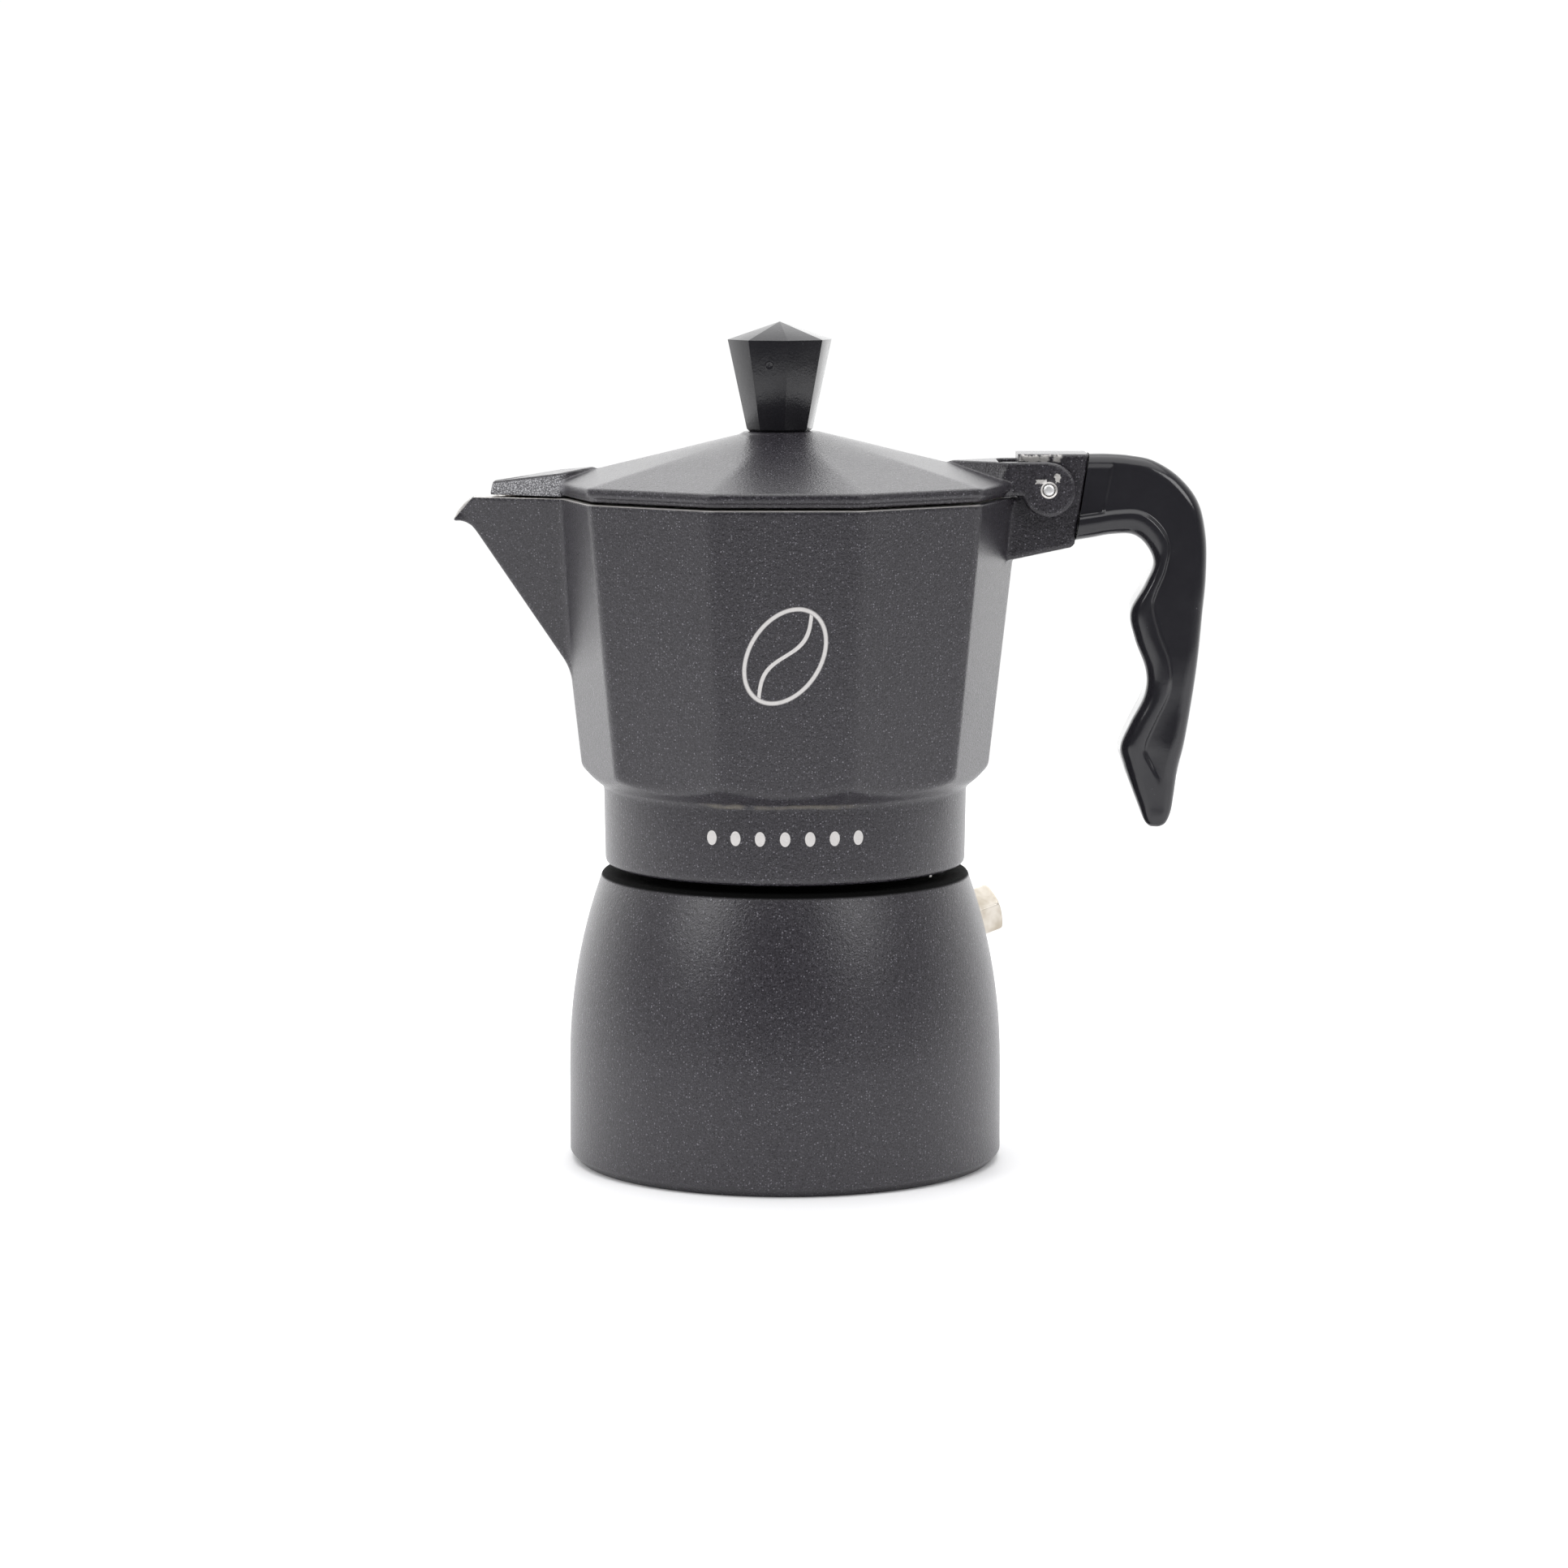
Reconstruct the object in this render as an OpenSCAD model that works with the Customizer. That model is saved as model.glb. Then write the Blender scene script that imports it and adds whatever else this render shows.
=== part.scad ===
// Three-cup stovetop moka pot, in millimetres.
// The origin is the centre of the boiler's bottom face. +Z is up, the handle
// is on +X and the spout is on -X.

/* [Boiler] */
// Radius of the lower barrel
boiler_r = 41; // [40.5:0.1:41.5]
// Radius of the foot, inside the bottom chamfer
foot_r = 39.3; // [38.5:0.1:40]
// Height at which the barrel starts to curve in
shoulder_start_z = 19; // [17:0.5:21]
// Radius of the shoulder's long arc
shoulder_arc_r = 104.5; // [100:0.5:110]
// Height of the ledge below the screw neck
ledge_z = 55.1; // [54.8:0.1:55.3]
// Height of the rim of the screw neck
neck_top_z = 65.5; // [65.3:0.1:65.7]
// Radius of the mouth
mouth_r = 28.5; // [28.4:0.1:28.8]
// Thickness of the boiler's wall
boiler_wall = 2.6; // [2.2:0.1:3]
// Thickness of the boiler's bottom
boiler_floor = 3; // [2.5:0.1:3.5]

/* [Screw thread] */
// Distance between turns of the thread
pitch = 3; // [2.9:0.1:3.1]
// Radius of the neck under its thread
neck_r = 30.6; // [30.4:0.1:30.7]
// Radius of the bore of the skirt around its thread
skirt_bore_r = 32.1; // [32:0.1:32.3]

/* [Safety valve] */
// Height at which the valve's axis leaves the wall
valve_z = 43; // [41:0.5:45]
// Angle of the valve behind the +X axis
valve_azimuth = 26; // [15:1:40]
// Upward tilt of the valve
valve_tilt = 15; // [13:1:17]
// Size of the valve's hexagon across its flats
valve_flats = 9; // [8:0.1:9]
// How far the hexagon stands out of the wall
valve_out = 6.5; // [6.2:0.1:7]

/* [Collector] */
// Corner radius of the body at its rim
rim_r = 44.4; // [44:0.1:44.8]
// Corner radius of the body above its bottom chamfer
base_r = 38.7; // [38.4:0.1:39]
// Height of the rim
rim_z = 126; // [125.8:0.1:126.1]
// Height of the upper edge of the bottom chamfer
chamfer_z = 75; // [74.8:0.1:75.5]
// Radius of the round waist
waist_r = 34.3; // [34.2:0.1:34.5]
// Height of the bottom edge of the skirt
skirt_z = 56.6; // [56.4:0.1:56.8]
// Thickness of the wall
wall = 2; // [1.8:0.1:2.2]
// Height of the floor inside
floor_z = 74.4; // [74.2:0.1:74.6]
// Height of the open top of the coffee column
column_top_z = 110; // [104:0.5:111]

/* [Lid] */
// Corner radius of the rim
lid_r = 44.7; // [44.5:0.1:45]
// Thickness of the lid's wall
lid_wall = 1.9; // [1.7:0.1:2.1]
// Height of the upper edge of the rim band
lid_band_z = 128.9; // [128.7:0.1:129.1]
// Height of the knob's seat
lid_top_z = 138.1; // [137.9:0.1:138.3]

/* [Hinge] */
// Distance of the hinge pin from the pot's axis
hinge_x = 49.2; // [49.1:0.1:49.3]
// Height of the hinge pin
hinge_z = 127.5; // [127.4:0.1:127.6]
// Radius of the hinge pin
pin_r = 1.15; // [1.1:0.05:1.3]
// Width of the hinge block
block_w = 11.2; // [11:0.1:11.2]
// Radius of the lid's ears
ear_r = 5.1; // [4.9:0.1:5.2]
// Distance between the outer faces of the ears
ears_w = 16.4; // [16:0.1:16.8]

/* [Knob] */
// Distance of the knob's axis from the pot's axis
knob_x = -1; // [-1:0.1:0]
// Corner radius of the knob's bottom
knob_bottom_r = 6.2; // [6:0.1:6.4]
// Corner radius of the knob's rim
knob_rim_r = 9.85; // [9.5:0.05:10]
// Height of the knob's rim
knob_rim_z = 155.3; // [155:0.1:156]
// Height of the knob's point
knob_tip_z = 158.6; // [158:0.1:159]

/* [Handle] */
// Thickness of the handle from side to side
handle_w = 14; // [12.5:0.5:15]

/* [Funnel and seals] */
// Outer radius of the coffee basket
basket_r = 28.1; // [28:0.1:28.2]
// Thickness of the pressed sheet
sheet = 0.8; // [0.7:0.1:0.9]
// Thickness of the gasket
gasket_h = 3.85; // [3.8:0.05:3.85]

/* [Hidden] */
$fn = 96;
eps = 0.01;
coating = "#49474c";
bare_metal = "#b9babd";
black_plastic = "#141416";

// Number of flat sides of the collector and the lid, and of the knob
facets = 10;
knob_facets = 8;

// Vertical stack between the neck and the collector's floor
flange_top_z = neck_top_z + sheet;
gasket_z = flange_top_z + 0.1;
plate_z = gasket_z + gasket_h + 0.05;
plate_t = 0.6;
plate_r = 30;
ceiling_z = plate_z + plate_t;
chamber_h = 0.9;
chamber_r = 26;

// Thread ridges
thread_depth = 0.95;
thread_root_w = 1.7;
thread_crest_w = 0.9;
thread_sink = 0.3;
thread_start_z = ledge_z + 2.4;
thread_steps = 40;
boiler_thread_turns = 2.25;
collector_thread_turns = 2;

// Valve, measured along its own axis from the wall
seat_depth = 0.35;
valve_seat_r = 5.2;
washer_r = valve_flats * 0.55;
washer_t = 0.6;
shank_r = 3;
shank_gap = 0.02;
shank_in = 5;
chamber_floor = -2.5;
valve_chamber_r = 2.2;
retainer_z = 4.6;
retainer_t = 0.8;
seal_r = 1.7;
seal_t = 0.6;
poppet_r = 1.9;
poppet_t = 0.8;
stem_r = 0.7;
stem_gap = 0.2;
valve_cut = 20;

// Funnel: its conical bottom, the tube pressed into it, and the strainer disc
funnel_flange_r = 30.4;
cone_z = 46;
collar_z = 31.5;
collar_gap = 0.02;
tube_r = 5.3;
tube_z = 8;
tube_top_z = 35.6;
disc_z = 47.45;
disc_t = 0.6;
disc_gap = 0.1;

// Collector: the chamfer round its bottom, cut by a cone, and the coffee column
chamfer_low_z = 71.8;
chamfer_low_r = 34.8;
chamfer_slope = (base_r - chamfer_low_r) / (chamfer_z - chamfer_low_z);
column_r = 5.2;
column_foot_r = 6.8;
column_bore_r = 3.4;

// Spout: corners of one half as [x, y, z], and the same for its channel
spout_edge_r = 0.8;
channel_edge_r = 0.1;
spout_points = [[-39, 7.2, 127], [-40, 0.1, 97], [-56.2, 0.1, 118], [-58, 1.4, 127],
                [-61.6, 0.1, 121.6]];
channel_points = [[-35, 6.6, 128], [-37, 0.1, 103], [-55.6, 0.1, 120.6],
                  [-59.5, 0.7, 128], [-64, 0.3, 123.2]];

// Hinge block, seen from the front
block_root = [38, 114];
block_bottom = [42.7, 114.3];
block_corner = [53.6, 116.6];
block_front_x = hinge_x - 5.7;
block_top_z = hinge_z + 6.6;
joint_top = [56.8, block_top_z];
joint_bottom = [54.2, 117.2];
slot_x = hinge_x - 9.2;
lid_step_z = 126.4;
ear_gap = 0.3;
pin_hole_gap = 0.05;

// Handle tenon and its screw
tenon_w = 5.2;
tenon_z = 123.4;
tenon_h = 6.6;
tenon_root_x = block_front_x + 6.5;
tenon_x = 65;
screw_x = 61;
screw_hole_h = 5.6;
m3_r = 1.5;
m4_r = 2;

// Knob insert and the washer under the lid
insert_r = 3.19;
knob_washer_t = 0.6;

// Handle, seen from the front: from the joint's top round the grip to its bottom
handle_line = [[56.9, 134.1], [60, 134.1], [64.5, 133.8], [69, 132.8], [73.8, 129.7],
               [77.4, 125], [78.9, 119], [79, 112], [78.1, 100], [76.2, 84.6],
               [73.9, 73.7], [72.8, 66.9], [71.9, 64.7], [70.8, 63.8], [69.7, 63.5],
               [68.6, 63.9], [67.6, 64.9], [66.4, 67.2], [65, 70.3], [63.7, 75.3],
               [63.3, 79], [65, 83.5], [67.6, 88.8],
               [67.8, 93.5], [65.7, 99.5], [65.4, 104.5], [67.5, 109.8], [69, 113.8],
               [67.6, 117.1], [65, 119], [61, 119], [57.5, 118.4], [54.4, 117.9]];

// Radius of the outer shoulder at a height
function shoulder_r(z) =
    boiler_r - shoulder_arc_r
    + sqrt(pow(shoulder_arc_r, 2) - pow(z - shoulder_start_z, 2));

// Points along the shoulder between two heights, moved in by a wall
function shoulder_line(z1, z2, inset, steps = 10) =
    [for (i = [0 : steps]) let (z = z1 + (z2 - z1) * i / steps) [shoulder_r(z) - inset, z]];

// One smooth curve through a list of points
function catmull(a, b, c, d, t) =
    0.5 * (2 * b + (c - a) * t + (2 * a - 5 * b + 4 * c - d) * t * t
           + (3 * b - a - 3 * c + d) * t * t * t);
function smooth_line(p, steps = 3) = [
    for (i = [0 : len(p) - 2], s = [0 : steps - 1])
        catmull(p[max(i - 1, 0)], p[i], p[i + 1], p[min(i + 2, len(p) - 1)], s / steps),
    p[len(p) - 1]
];

// Corner radius of the collector's body at a height
function body_r(z) = base_r + (rim_r - base_r) * (z - chamfer_z) / (rim_z - chamfer_z);

// A ridge along a right-handed helix, with a four-cornered section
module helix_ridge(r_in, w_in, r_out, w_out, rise, turns, steps) {
    n = ceil(turns * steps);
    function station(i) =
        let (a = 360 * i / steps, z = rise * i / steps, c = cos(a), s = sin(a))
        [[r_in * c, r_in * s, z - w_in / 2], [r_out * c, r_out * s, z - w_out / 2],
         [r_out * c, r_out * s, z + w_out / 2], [r_in * c, r_in * s, z + w_in / 2]];
    points = [for (i = [0 : n], p = station(i)) p];
    sides = [for (i = [0 : n - 1], k = [0 : 3])
             let (m = (k + 1) % 4)
             [4 * i + k, 4 * i + m, 4 * (i + 1) + m, 4 * (i + 1) + k]];
    polyhedron(points, concat([[3, 2, 1, 0]], sides, [[for (k = [0 : 3]) 4 * n + k]]));
}

// A pyramid with flat sides and a corner on the X axis
module facet_prism(r1, r2, z1, z2, sides) {
    translate([0, 0, z1]) cylinder(r1 = r1, r2 = r2, h = z2 - z1, $fn = sides);
}

// An outline in X and Z, as thick as w about the middle plane
module side_plate(w) {
    rotate([90, 0, 0]) linear_extrude(height = w, center = true) children();
}

// A rounded solid around mirrored pairs of corners
module corner_hull(corners, r) {
    hull() for (p = corners, side = [-1, 1])
        translate([p.x, side * p.y, p.z]) sphere(r = r, $fn = 16);
}

// Places its children on the valve's axis, which leaves the wall along local Z
module on_valve() {
    rotate([0, 0, valve_azimuth]) translate([shoulder_r(valve_z), 0, valve_z])
        rotate([0, 90 - valve_tilt, 0]) children();
}

// Places its children at the hinge pin, with local Z along the pin
module on_hinge() {
    translate([hinge_x, 0, hinge_z]) rotate([90, 0, 0]) children();
}

module ring(r_out, r_in, h) {
    difference() {
        cylinder(r = r_out, h = h);
        translate([0, 0, -eps]) cylinder(r = r_in, h = h + 2 * eps);
    }
}

// Rings of small holes, as on a strainer
module strainer_holes(ring_step, rings, hole_r) {
    for (k = [1 : rings], i = [0 : 6 * k - 1])
        rotate([0, 0, 60 * i / k]) translate([k * ring_step, 0, -1])
            cylinder(r = hole_r, h = 3);
}

module boiler() {
    ledge_edge = 1.1;
    neck_edge = 0.5;
    mouth_bottom_z = ledge_z - 2.6;
    inner_top_z = ledge_z - 6;
    inner_r = boiler_r - boiler_wall;
    inner_corner = 2.5;
    seat_cut_h = 3;
    drill_in = 8;
    drill_out = 4;
    outside = concat(
        [[0, 0], [foot_r, 0], [boiler_r, boiler_r - foot_r]],
        shoulder_line(shoulder_start_z, ledge_z - ledge_edge, 0),
        [[shoulder_r(ledge_z) - ledge_edge, ledge_z], [neck_r, ledge_z],
         [neck_r, neck_top_z - neck_edge], [neck_r - neck_edge, neck_top_z]]);
    inside = concat(
        [[mouth_r, neck_top_z], [mouth_r, mouth_bottom_z]],
        shoulder_line(inner_top_z, shoulder_start_z, boiler_wall),
        [[inner_r, boiler_floor + inner_corner], [inner_r - inner_corner, boiler_floor],
         [0, boiler_floor]]);
    color(coating) difference() {
        union() {
            rotate_extrude() polygon(concat(outside, inside));
            translate([0, 0, thread_start_z])
                helix_ridge(neck_r - thread_sink, thread_root_w, neck_r + thread_depth,
                            thread_crest_w, pitch, boiler_thread_turns, thread_steps);
        }
        on_valve() {
            translate([0, 0, -seat_depth]) cylinder(r = valve_seat_r, h = seat_cut_h);
            translate([0, 0, -drill_in])
                cylinder(r = shank_r + shank_gap, h = drill_in + drill_out);
        }
    }
}

module valve_body() {
    hex_r = valve_flats / sqrt(3);
    hex_z = washer_t - seat_depth;
    hex_turn = 11;
    inlet_r = 1.2;
    chamfer_r = hex_r * 0.87;
    chamfer_lean = 1.2;
    color("#d8d2c6") on_valve() difference() {
        union() {
            intersection() {
                translate([0, 0, hex_z]) rotate([0, 0, hex_turn])
                    cylinder(r = hex_r, h = valve_out - hex_z, $fn = 6);
                cylinder(r1 = chamfer_r + chamfer_lean * valve_out, r2 = chamfer_r,
                         h = valve_out);
            }
            translate([0, 0, -shank_in]) cylinder(r = shank_r, h = shank_in + hex_z + 1);
        }
        translate([0, 0, chamber_floor]) cylinder(r = valve_chamber_r, h = valve_cut);
        translate([0, 0, -valve_cut]) cylinder(r = inlet_r, h = valve_cut);
    }
}

module valve_washer() {
    color("#9a4a32") on_valve() translate([0, 0, -seat_depth])
        ring(washer_r, shank_r + 2 * shank_gap, washer_t);
}

module valve_seal() {
    color("#7c3226") on_valve() translate([0, 0, chamber_floor])
        cylinder(r = seal_r, h = seal_t);
}

module valve_poppet() {
    stem_top = valve_out + 0.4;
    color("#c9a24b") on_valve() translate([0, 0, chamber_floor + seal_t]) {
        cylinder(r = poppet_r, h = poppet_t);
        cylinder(r = stem_r, h = stem_top - chamber_floor - seal_t);
    }
}

module valve_spring() {
    wire = 0.5;
    coil_r = 1.2;
    coils = 5;
    coil_steps = 16;
    end_gap = 0.05;
    spring_z = chamber_floor + seal_t + poppet_t;
    spring_h = retainer_z - spring_z;
    rise = (spring_h - wire - 2 * end_gap) / coils;
    color("#a8a8ac") on_valve() translate([0, 0, spring_z + wire / 2 + end_gap])
        helix_ridge(coil_r, wire, coil_r + wire, wire, rise, coils, coil_steps);
}

module valve_retainer() {
    color("#c9a24b") on_valve() translate([0, 0, retainer_z])
        ring(valve_chamber_r - eps, stem_r + stem_gap, retainer_t);
}

// Pressed basket with a flange, a conical bottom and a collar for the tube
module funnel() {
    basket_in = basket_r - sheet;
    hole_r = tube_r + collar_gap;
    disc_ledge_z = disc_z - 0.05;
    disc_ledge_w = 1.2;
    corner = 0.8;
    color(bare_metal) rotate_extrude() polygon([
        [funnel_flange_r, neck_top_z], [funnel_flange_r, flange_top_z],
        [basket_in, flange_top_z], [basket_in, disc_ledge_z],
        [basket_in - disc_ledge_w, disc_ledge_z], [hole_r, tube_top_z], [hole_r, collar_z],
        [hole_r + sheet, collar_z], [hole_r + sheet, tube_top_z - corner],
        [basket_r - 2 * corner, cone_z], [basket_r, cone_z + corner],
        [basket_r, neck_top_z]]);
}

module funnel_stem() {
    color(bare_metal) translate([0, 0, tube_z])
        ring(tube_r, tube_r - sheet, tube_top_z - tube_z);
}

module funnel_disc() {
    color(bare_metal) translate([0, 0, disc_z]) difference() {
        cylinder(r = basket_r - sheet - disc_gap, h = disc_t);
        strainer_holes(ring_step = 5, rings = 4, hole_r = 0.9);
    }
}

module gasket() {
    color("#e9e6de") translate([0, 0, gasket_z])
        ring(skirt_bore_r - 0.6, chamber_r + 0.2, gasket_h);
}

module filter_plate() {
    color(bare_metal) translate([0, 0, plate_z]) difference() {
        cylinder(r = plate_r, h = plate_t);
        strainer_holes(ring_step = 4, rings = 5, hole_r = 0.7);
    }
}

// Outline of the hinge block, and of the tenon that holds the handle
module block_outline() {
    polygon([block_root, block_bottom, block_corner, joint_bottom, joint_top,
             [block_front_x, block_top_z], [block_front_x, rim_z], [block_root.x, rim_z]]);
}

module collector_outside() {
    skirt_edge = 0.8;
    waist_h = ceiling_z + 2 - skirt_z;
    spout_cut = [50, 40, 20];
    translate([0, 0, skirt_z + skirt_edge]) cylinder(r = waist_r, h = waist_h);
    translate([0, 0, skirt_z])
        cylinder(r1 = waist_r - skirt_edge, r2 = waist_r, h = skirt_edge + eps);
    intersection() {
        facet_prism(body_r(chamfer_low_z), rim_r, chamfer_low_z, rim_z, facets);
        translate([0, 0, chamfer_low_z])
            cylinder(r1 = chamfer_low_r, h = rim_z - chamfer_low_z,
                     r2 = chamfer_low_r + chamfer_slope * (rim_z - chamfer_low_z));
    }
    difference() {
        corner_hull(spout_points, spout_edge_r);
        translate([-80, -spout_cut.y / 2, rim_z]) cube(spout_cut);
    }
    side_plate(block_w) block_outline();
    translate([tenon_root_x, -tenon_w / 2, tenon_z])
        cube([tenon_x - tenon_root_x, tenon_w, tenon_h]);
}

module collector() {
    corner_wall = wall / cos(180 / facets);
    thread_gap = 0.1;
    column_root_z = floor_z - 1;
    color(coating) difference() {
        union() {
            difference() {
                collector_outside();
                facet_prism(base_r - corner_wall, rim_r - corner_wall, floor_z, rim_z + 1,
                            facets);
                corner_hull(channel_points, channel_edge_r);
                translate([0, 0, skirt_z - 1])
                    cylinder(r = skirt_bore_r, h = ceiling_z - skirt_z + 1);
                translate([0, 0, ceiling_z - eps]) cylinder(r = chamber_r, h = chamber_h);
            }
            translate([0, 0, thread_start_z + pitch / 2])
                helix_ridge(skirt_bore_r - thread_depth - thread_gap, thread_crest_w,
                            skirt_bore_r + thread_sink, thread_root_w, pitch,
                            collector_thread_turns, thread_steps);
            translate([0, 0, column_root_z])
                cylinder(r1 = column_foot_r, r2 = column_r, h = column_top_z - column_root_z);
        }
        translate([0, 0, ceiling_z])
            cylinder(r = column_bore_r, h = column_top_z + 1 - ceiling_z);
        on_hinge() cylinder(r = pin_r + eps, h = block_w + 2, center = true);
        translate([screw_x, 0, tenon_z - 1]) cylinder(r = m3_r + eps, h = screw_hole_h);
    }
}

module hinge_pin() {
    pin_end = ears_w / 2 - 0.1;
    bevel = 0.3;
    color(bare_metal) on_hinge() {
        cylinder(r = pin_r, h = 2 * (pin_end - bevel), center = true);
        for (side = [0, 180]) rotate([side, 0, 0]) translate([0, 0, pin_end - bevel])
            cylinder(r1 = pin_r, r2 = pin_r - bevel, h = bevel);
    }
}

module handle() {
    head_r = 3;
    head_seat_z = 121.2;
    below_z = 110;
    slack = 0.15;
    color(black_plastic) difference() {
        side_plate(handle_w) polygon(smooth_line(handle_line));
        translate([tenon_root_x, -tenon_w / 2 - slack, tenon_z - slack])
            cube([tenon_x - tenon_root_x + slack, tenon_w + 2 * slack, tenon_h + 2 * slack]);
        translate([screw_x, 0, below_z]) {
            cylinder(r = head_r, h = head_seat_z - below_z);
            cylinder(r = m3_r + 0.25, h = tenon_z + 1 - below_z);
        }
    }
}

// Two crossed slots in the underside of a screw head
module cross_slots(length, width, depth) {
    for (turn = [0, 90]) rotate([0, 0, turn]) translate([-length / 2, -width / 2, -eps])
        cube([length, width, depth]);
}

module handle_screw() {
    head_z = 119.7;
    color("#8d8e92") translate([screw_x, 0, head_z]) difference() {
        union() {
            cylinder(r = 2.7, h = 1.5);
            cylinder(r = m3_r, h = 8);
        }
        cross_slots(length = 3.2, width = 0.7, depth = 0.9);
    }
}

// Both ears, the flat wedge that joins them to the cone, and no slot yet
module lid_ears() {
    wedge_z = hinge_z + ear_r + 0.1;
    nose_x = 31.2;
    nose_w = 1.2;
    arm_x = 41;
    hull() {
        translate([nose_x, -nose_w / 2, lid_band_z])
            cube([0.1, nose_w, wedge_z - lid_band_z]);
        translate([arm_x, -ears_w / 2, lid_step_z]) cube([1, ears_w, wedge_z - lid_step_z]);
    }
    for (side = [-1, 1]) translate([0, side * (ears_w + block_w + 2 * ear_gap) / 4, 0]) {
        ear_t = (ears_w - block_w) / 2 - ear_gap;
        on_hinge() cylinder(r = ear_r, h = ear_t, center = true);
        side_plate(ear_t) polygon([[arm_x, lid_step_z], [arm_x, wedge_z],
                                   [hinge_x, hinge_z + ear_r], [hinge_x, lid_step_z]]);
    }
}

// One cross-section of the beak, or of the hollow under it
module beak_slice(x, width, z1, z2) {
    translate([x, -width / 2, z1]) cube([1, width, z2 - z1]);
}

module lid() {
    beak_z = 126.3;
    step_h = 1.1;
    hollow_r = lid_r - 2;
    seat_r = 6.5;
    gap_w = block_w + 2 * ear_gap;
    countersink = 0.3;
    color(coating) difference() {
        union() {
            facet_prism(lid_r - 0.9, lid_r - 0.9, lid_step_z, lid_step_z + 1, facets);
            facet_prism(lid_r, lid_r, lid_step_z + 0.9, lid_band_z, facets);
            facet_prism(lid_r, seat_r, lid_band_z, lid_top_z, facets);
            translate([knob_x, 0, lid_top_z - 2]) cylinder(r = seat_r, h = 2);
            hull() {
                beak_slice(x = -34.4, width = 1, z1 = beak_z, z2 = 131.7);
                beak_slice(x = -42.5, width = 16, z1 = beak_z, z2 = 130.2);
                beak_slice(x = -55.2, width = 3.4, z1 = beak_z, z2 = 128.8);
            }
            lid_ears();
        }
        facet_prism(hollow_r, hollow_r, lid_step_z - 1, lid_step_z + step_h, facets);
        facet_prism(hollow_r, seat_r, lid_step_z + step_h, lid_top_z - lid_wall, facets);
        hull() {
            beak_slice(x = -40, width = 12, z1 = beak_z - 1, z2 = 128.4);
            beak_slice(x = -51, width = 2, z1 = beak_z - 1, z2 = 127.1);
        }
        translate([slot_x, -gap_w / 2, lid_step_z - 2]) cube([20, gap_w, 12]);
        on_hinge() {
            cylinder(r = pin_r + pin_hole_gap, h = 30, center = true);
            for (side = [0, 180]) rotate([side, 0, 0])
                translate([0, 0, ears_w / 2 - countersink])
                    cylinder(r1 = pin_r + pin_hole_gap, h = countersink + eps,
                             r2 = pin_r + pin_hole_gap + countersink);
        }
        translate([knob_x, 0, lid_top_z - 5]) cylinder(r = m4_r + 0.2, h = 10);
    }
}

module knob() {
    vertex_turn = 8.8;
    bore_h = 11.5;
    color(black_plastic) translate([knob_x, 0, 0]) rotate([0, 0, vertex_turn]) difference() {
        union() {
            facet_prism(knob_bottom_r, knob_rim_r, lid_top_z, knob_rim_z, knob_facets);
            facet_prism(knob_rim_r, 0.2, knob_rim_z - eps, knob_tip_z, knob_facets);
        }
        translate([0, 0, lid_top_z - 1]) cylinder(r = insert_r + eps, h = bore_h + 1);
    }
}

module knob_insert() {
    color("#c9a24b") translate([knob_x, 0, lid_top_z + 0.2]) ring(insert_r, m4_r, 10.8);
}

module knob_washer() {
    color("#8d8e92") translate([knob_x, 0, lid_top_z - lid_wall - knob_washer_t])
        ring(4.5, m4_r + 0.15, knob_washer_t);
}

module knob_screw() {
    head_r = 3.6;
    head_h = 2.2;
    bevel = 0.6;
    head_z = lid_top_z - lid_wall - knob_washer_t - head_h;
    color("#8d8e92") translate([knob_x, 0, head_z]) difference() {
        union() {
            cylinder(r1 = head_r - bevel, r2 = head_r, h = bevel);
            translate([0, 0, bevel]) cylinder(r = head_r, h = head_h - bevel);
            cylinder(r = m4_r - 0.02, h = head_h + 11);
        }
        cross_slots(length = 4, width = 0.8, depth = 1.3);
    }
}

boiler();
valve_body();
valve_washer();
valve_poppet();
valve_seal();
valve_spring();
valve_retainer();
funnel();
funnel_stem();
funnel_disc();
gasket();
filter_plate();
collector();
hinge_pin();
handle();
handle_screw();
lid();
knob();
knob_insert();
knob_screw();
knob_washer();
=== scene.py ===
"""The moka pot's looks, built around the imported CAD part.

Cast parts are written as signed distances on a block of sample points and meshed, so that their
edges and joins are as soft as a casting's. Turned, moulded and wound parts are made from their
sections. Shapes are in millimetres until a mesh is made. Materials, lights and the camera are in
metres, as object coordinates are.
"""

import math

import bmesh
import bpy
import numpy as np
import openvdb
from mathutils import Matrix, Vector

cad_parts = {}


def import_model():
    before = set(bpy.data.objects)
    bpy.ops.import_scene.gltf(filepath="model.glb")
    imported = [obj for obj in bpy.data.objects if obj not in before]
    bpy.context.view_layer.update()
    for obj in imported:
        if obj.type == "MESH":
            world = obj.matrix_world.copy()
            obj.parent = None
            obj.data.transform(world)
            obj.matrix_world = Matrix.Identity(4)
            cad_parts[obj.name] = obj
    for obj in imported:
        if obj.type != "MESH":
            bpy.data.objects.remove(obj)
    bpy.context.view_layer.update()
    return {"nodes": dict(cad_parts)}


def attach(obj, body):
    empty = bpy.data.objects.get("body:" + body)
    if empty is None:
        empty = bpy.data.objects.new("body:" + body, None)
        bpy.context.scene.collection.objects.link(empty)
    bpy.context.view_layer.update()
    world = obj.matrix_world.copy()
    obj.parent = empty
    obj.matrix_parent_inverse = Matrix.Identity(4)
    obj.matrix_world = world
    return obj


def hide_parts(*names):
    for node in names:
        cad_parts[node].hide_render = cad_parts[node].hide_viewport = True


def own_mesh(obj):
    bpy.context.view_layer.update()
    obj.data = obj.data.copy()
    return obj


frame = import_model()

MM = 0.001

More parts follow.
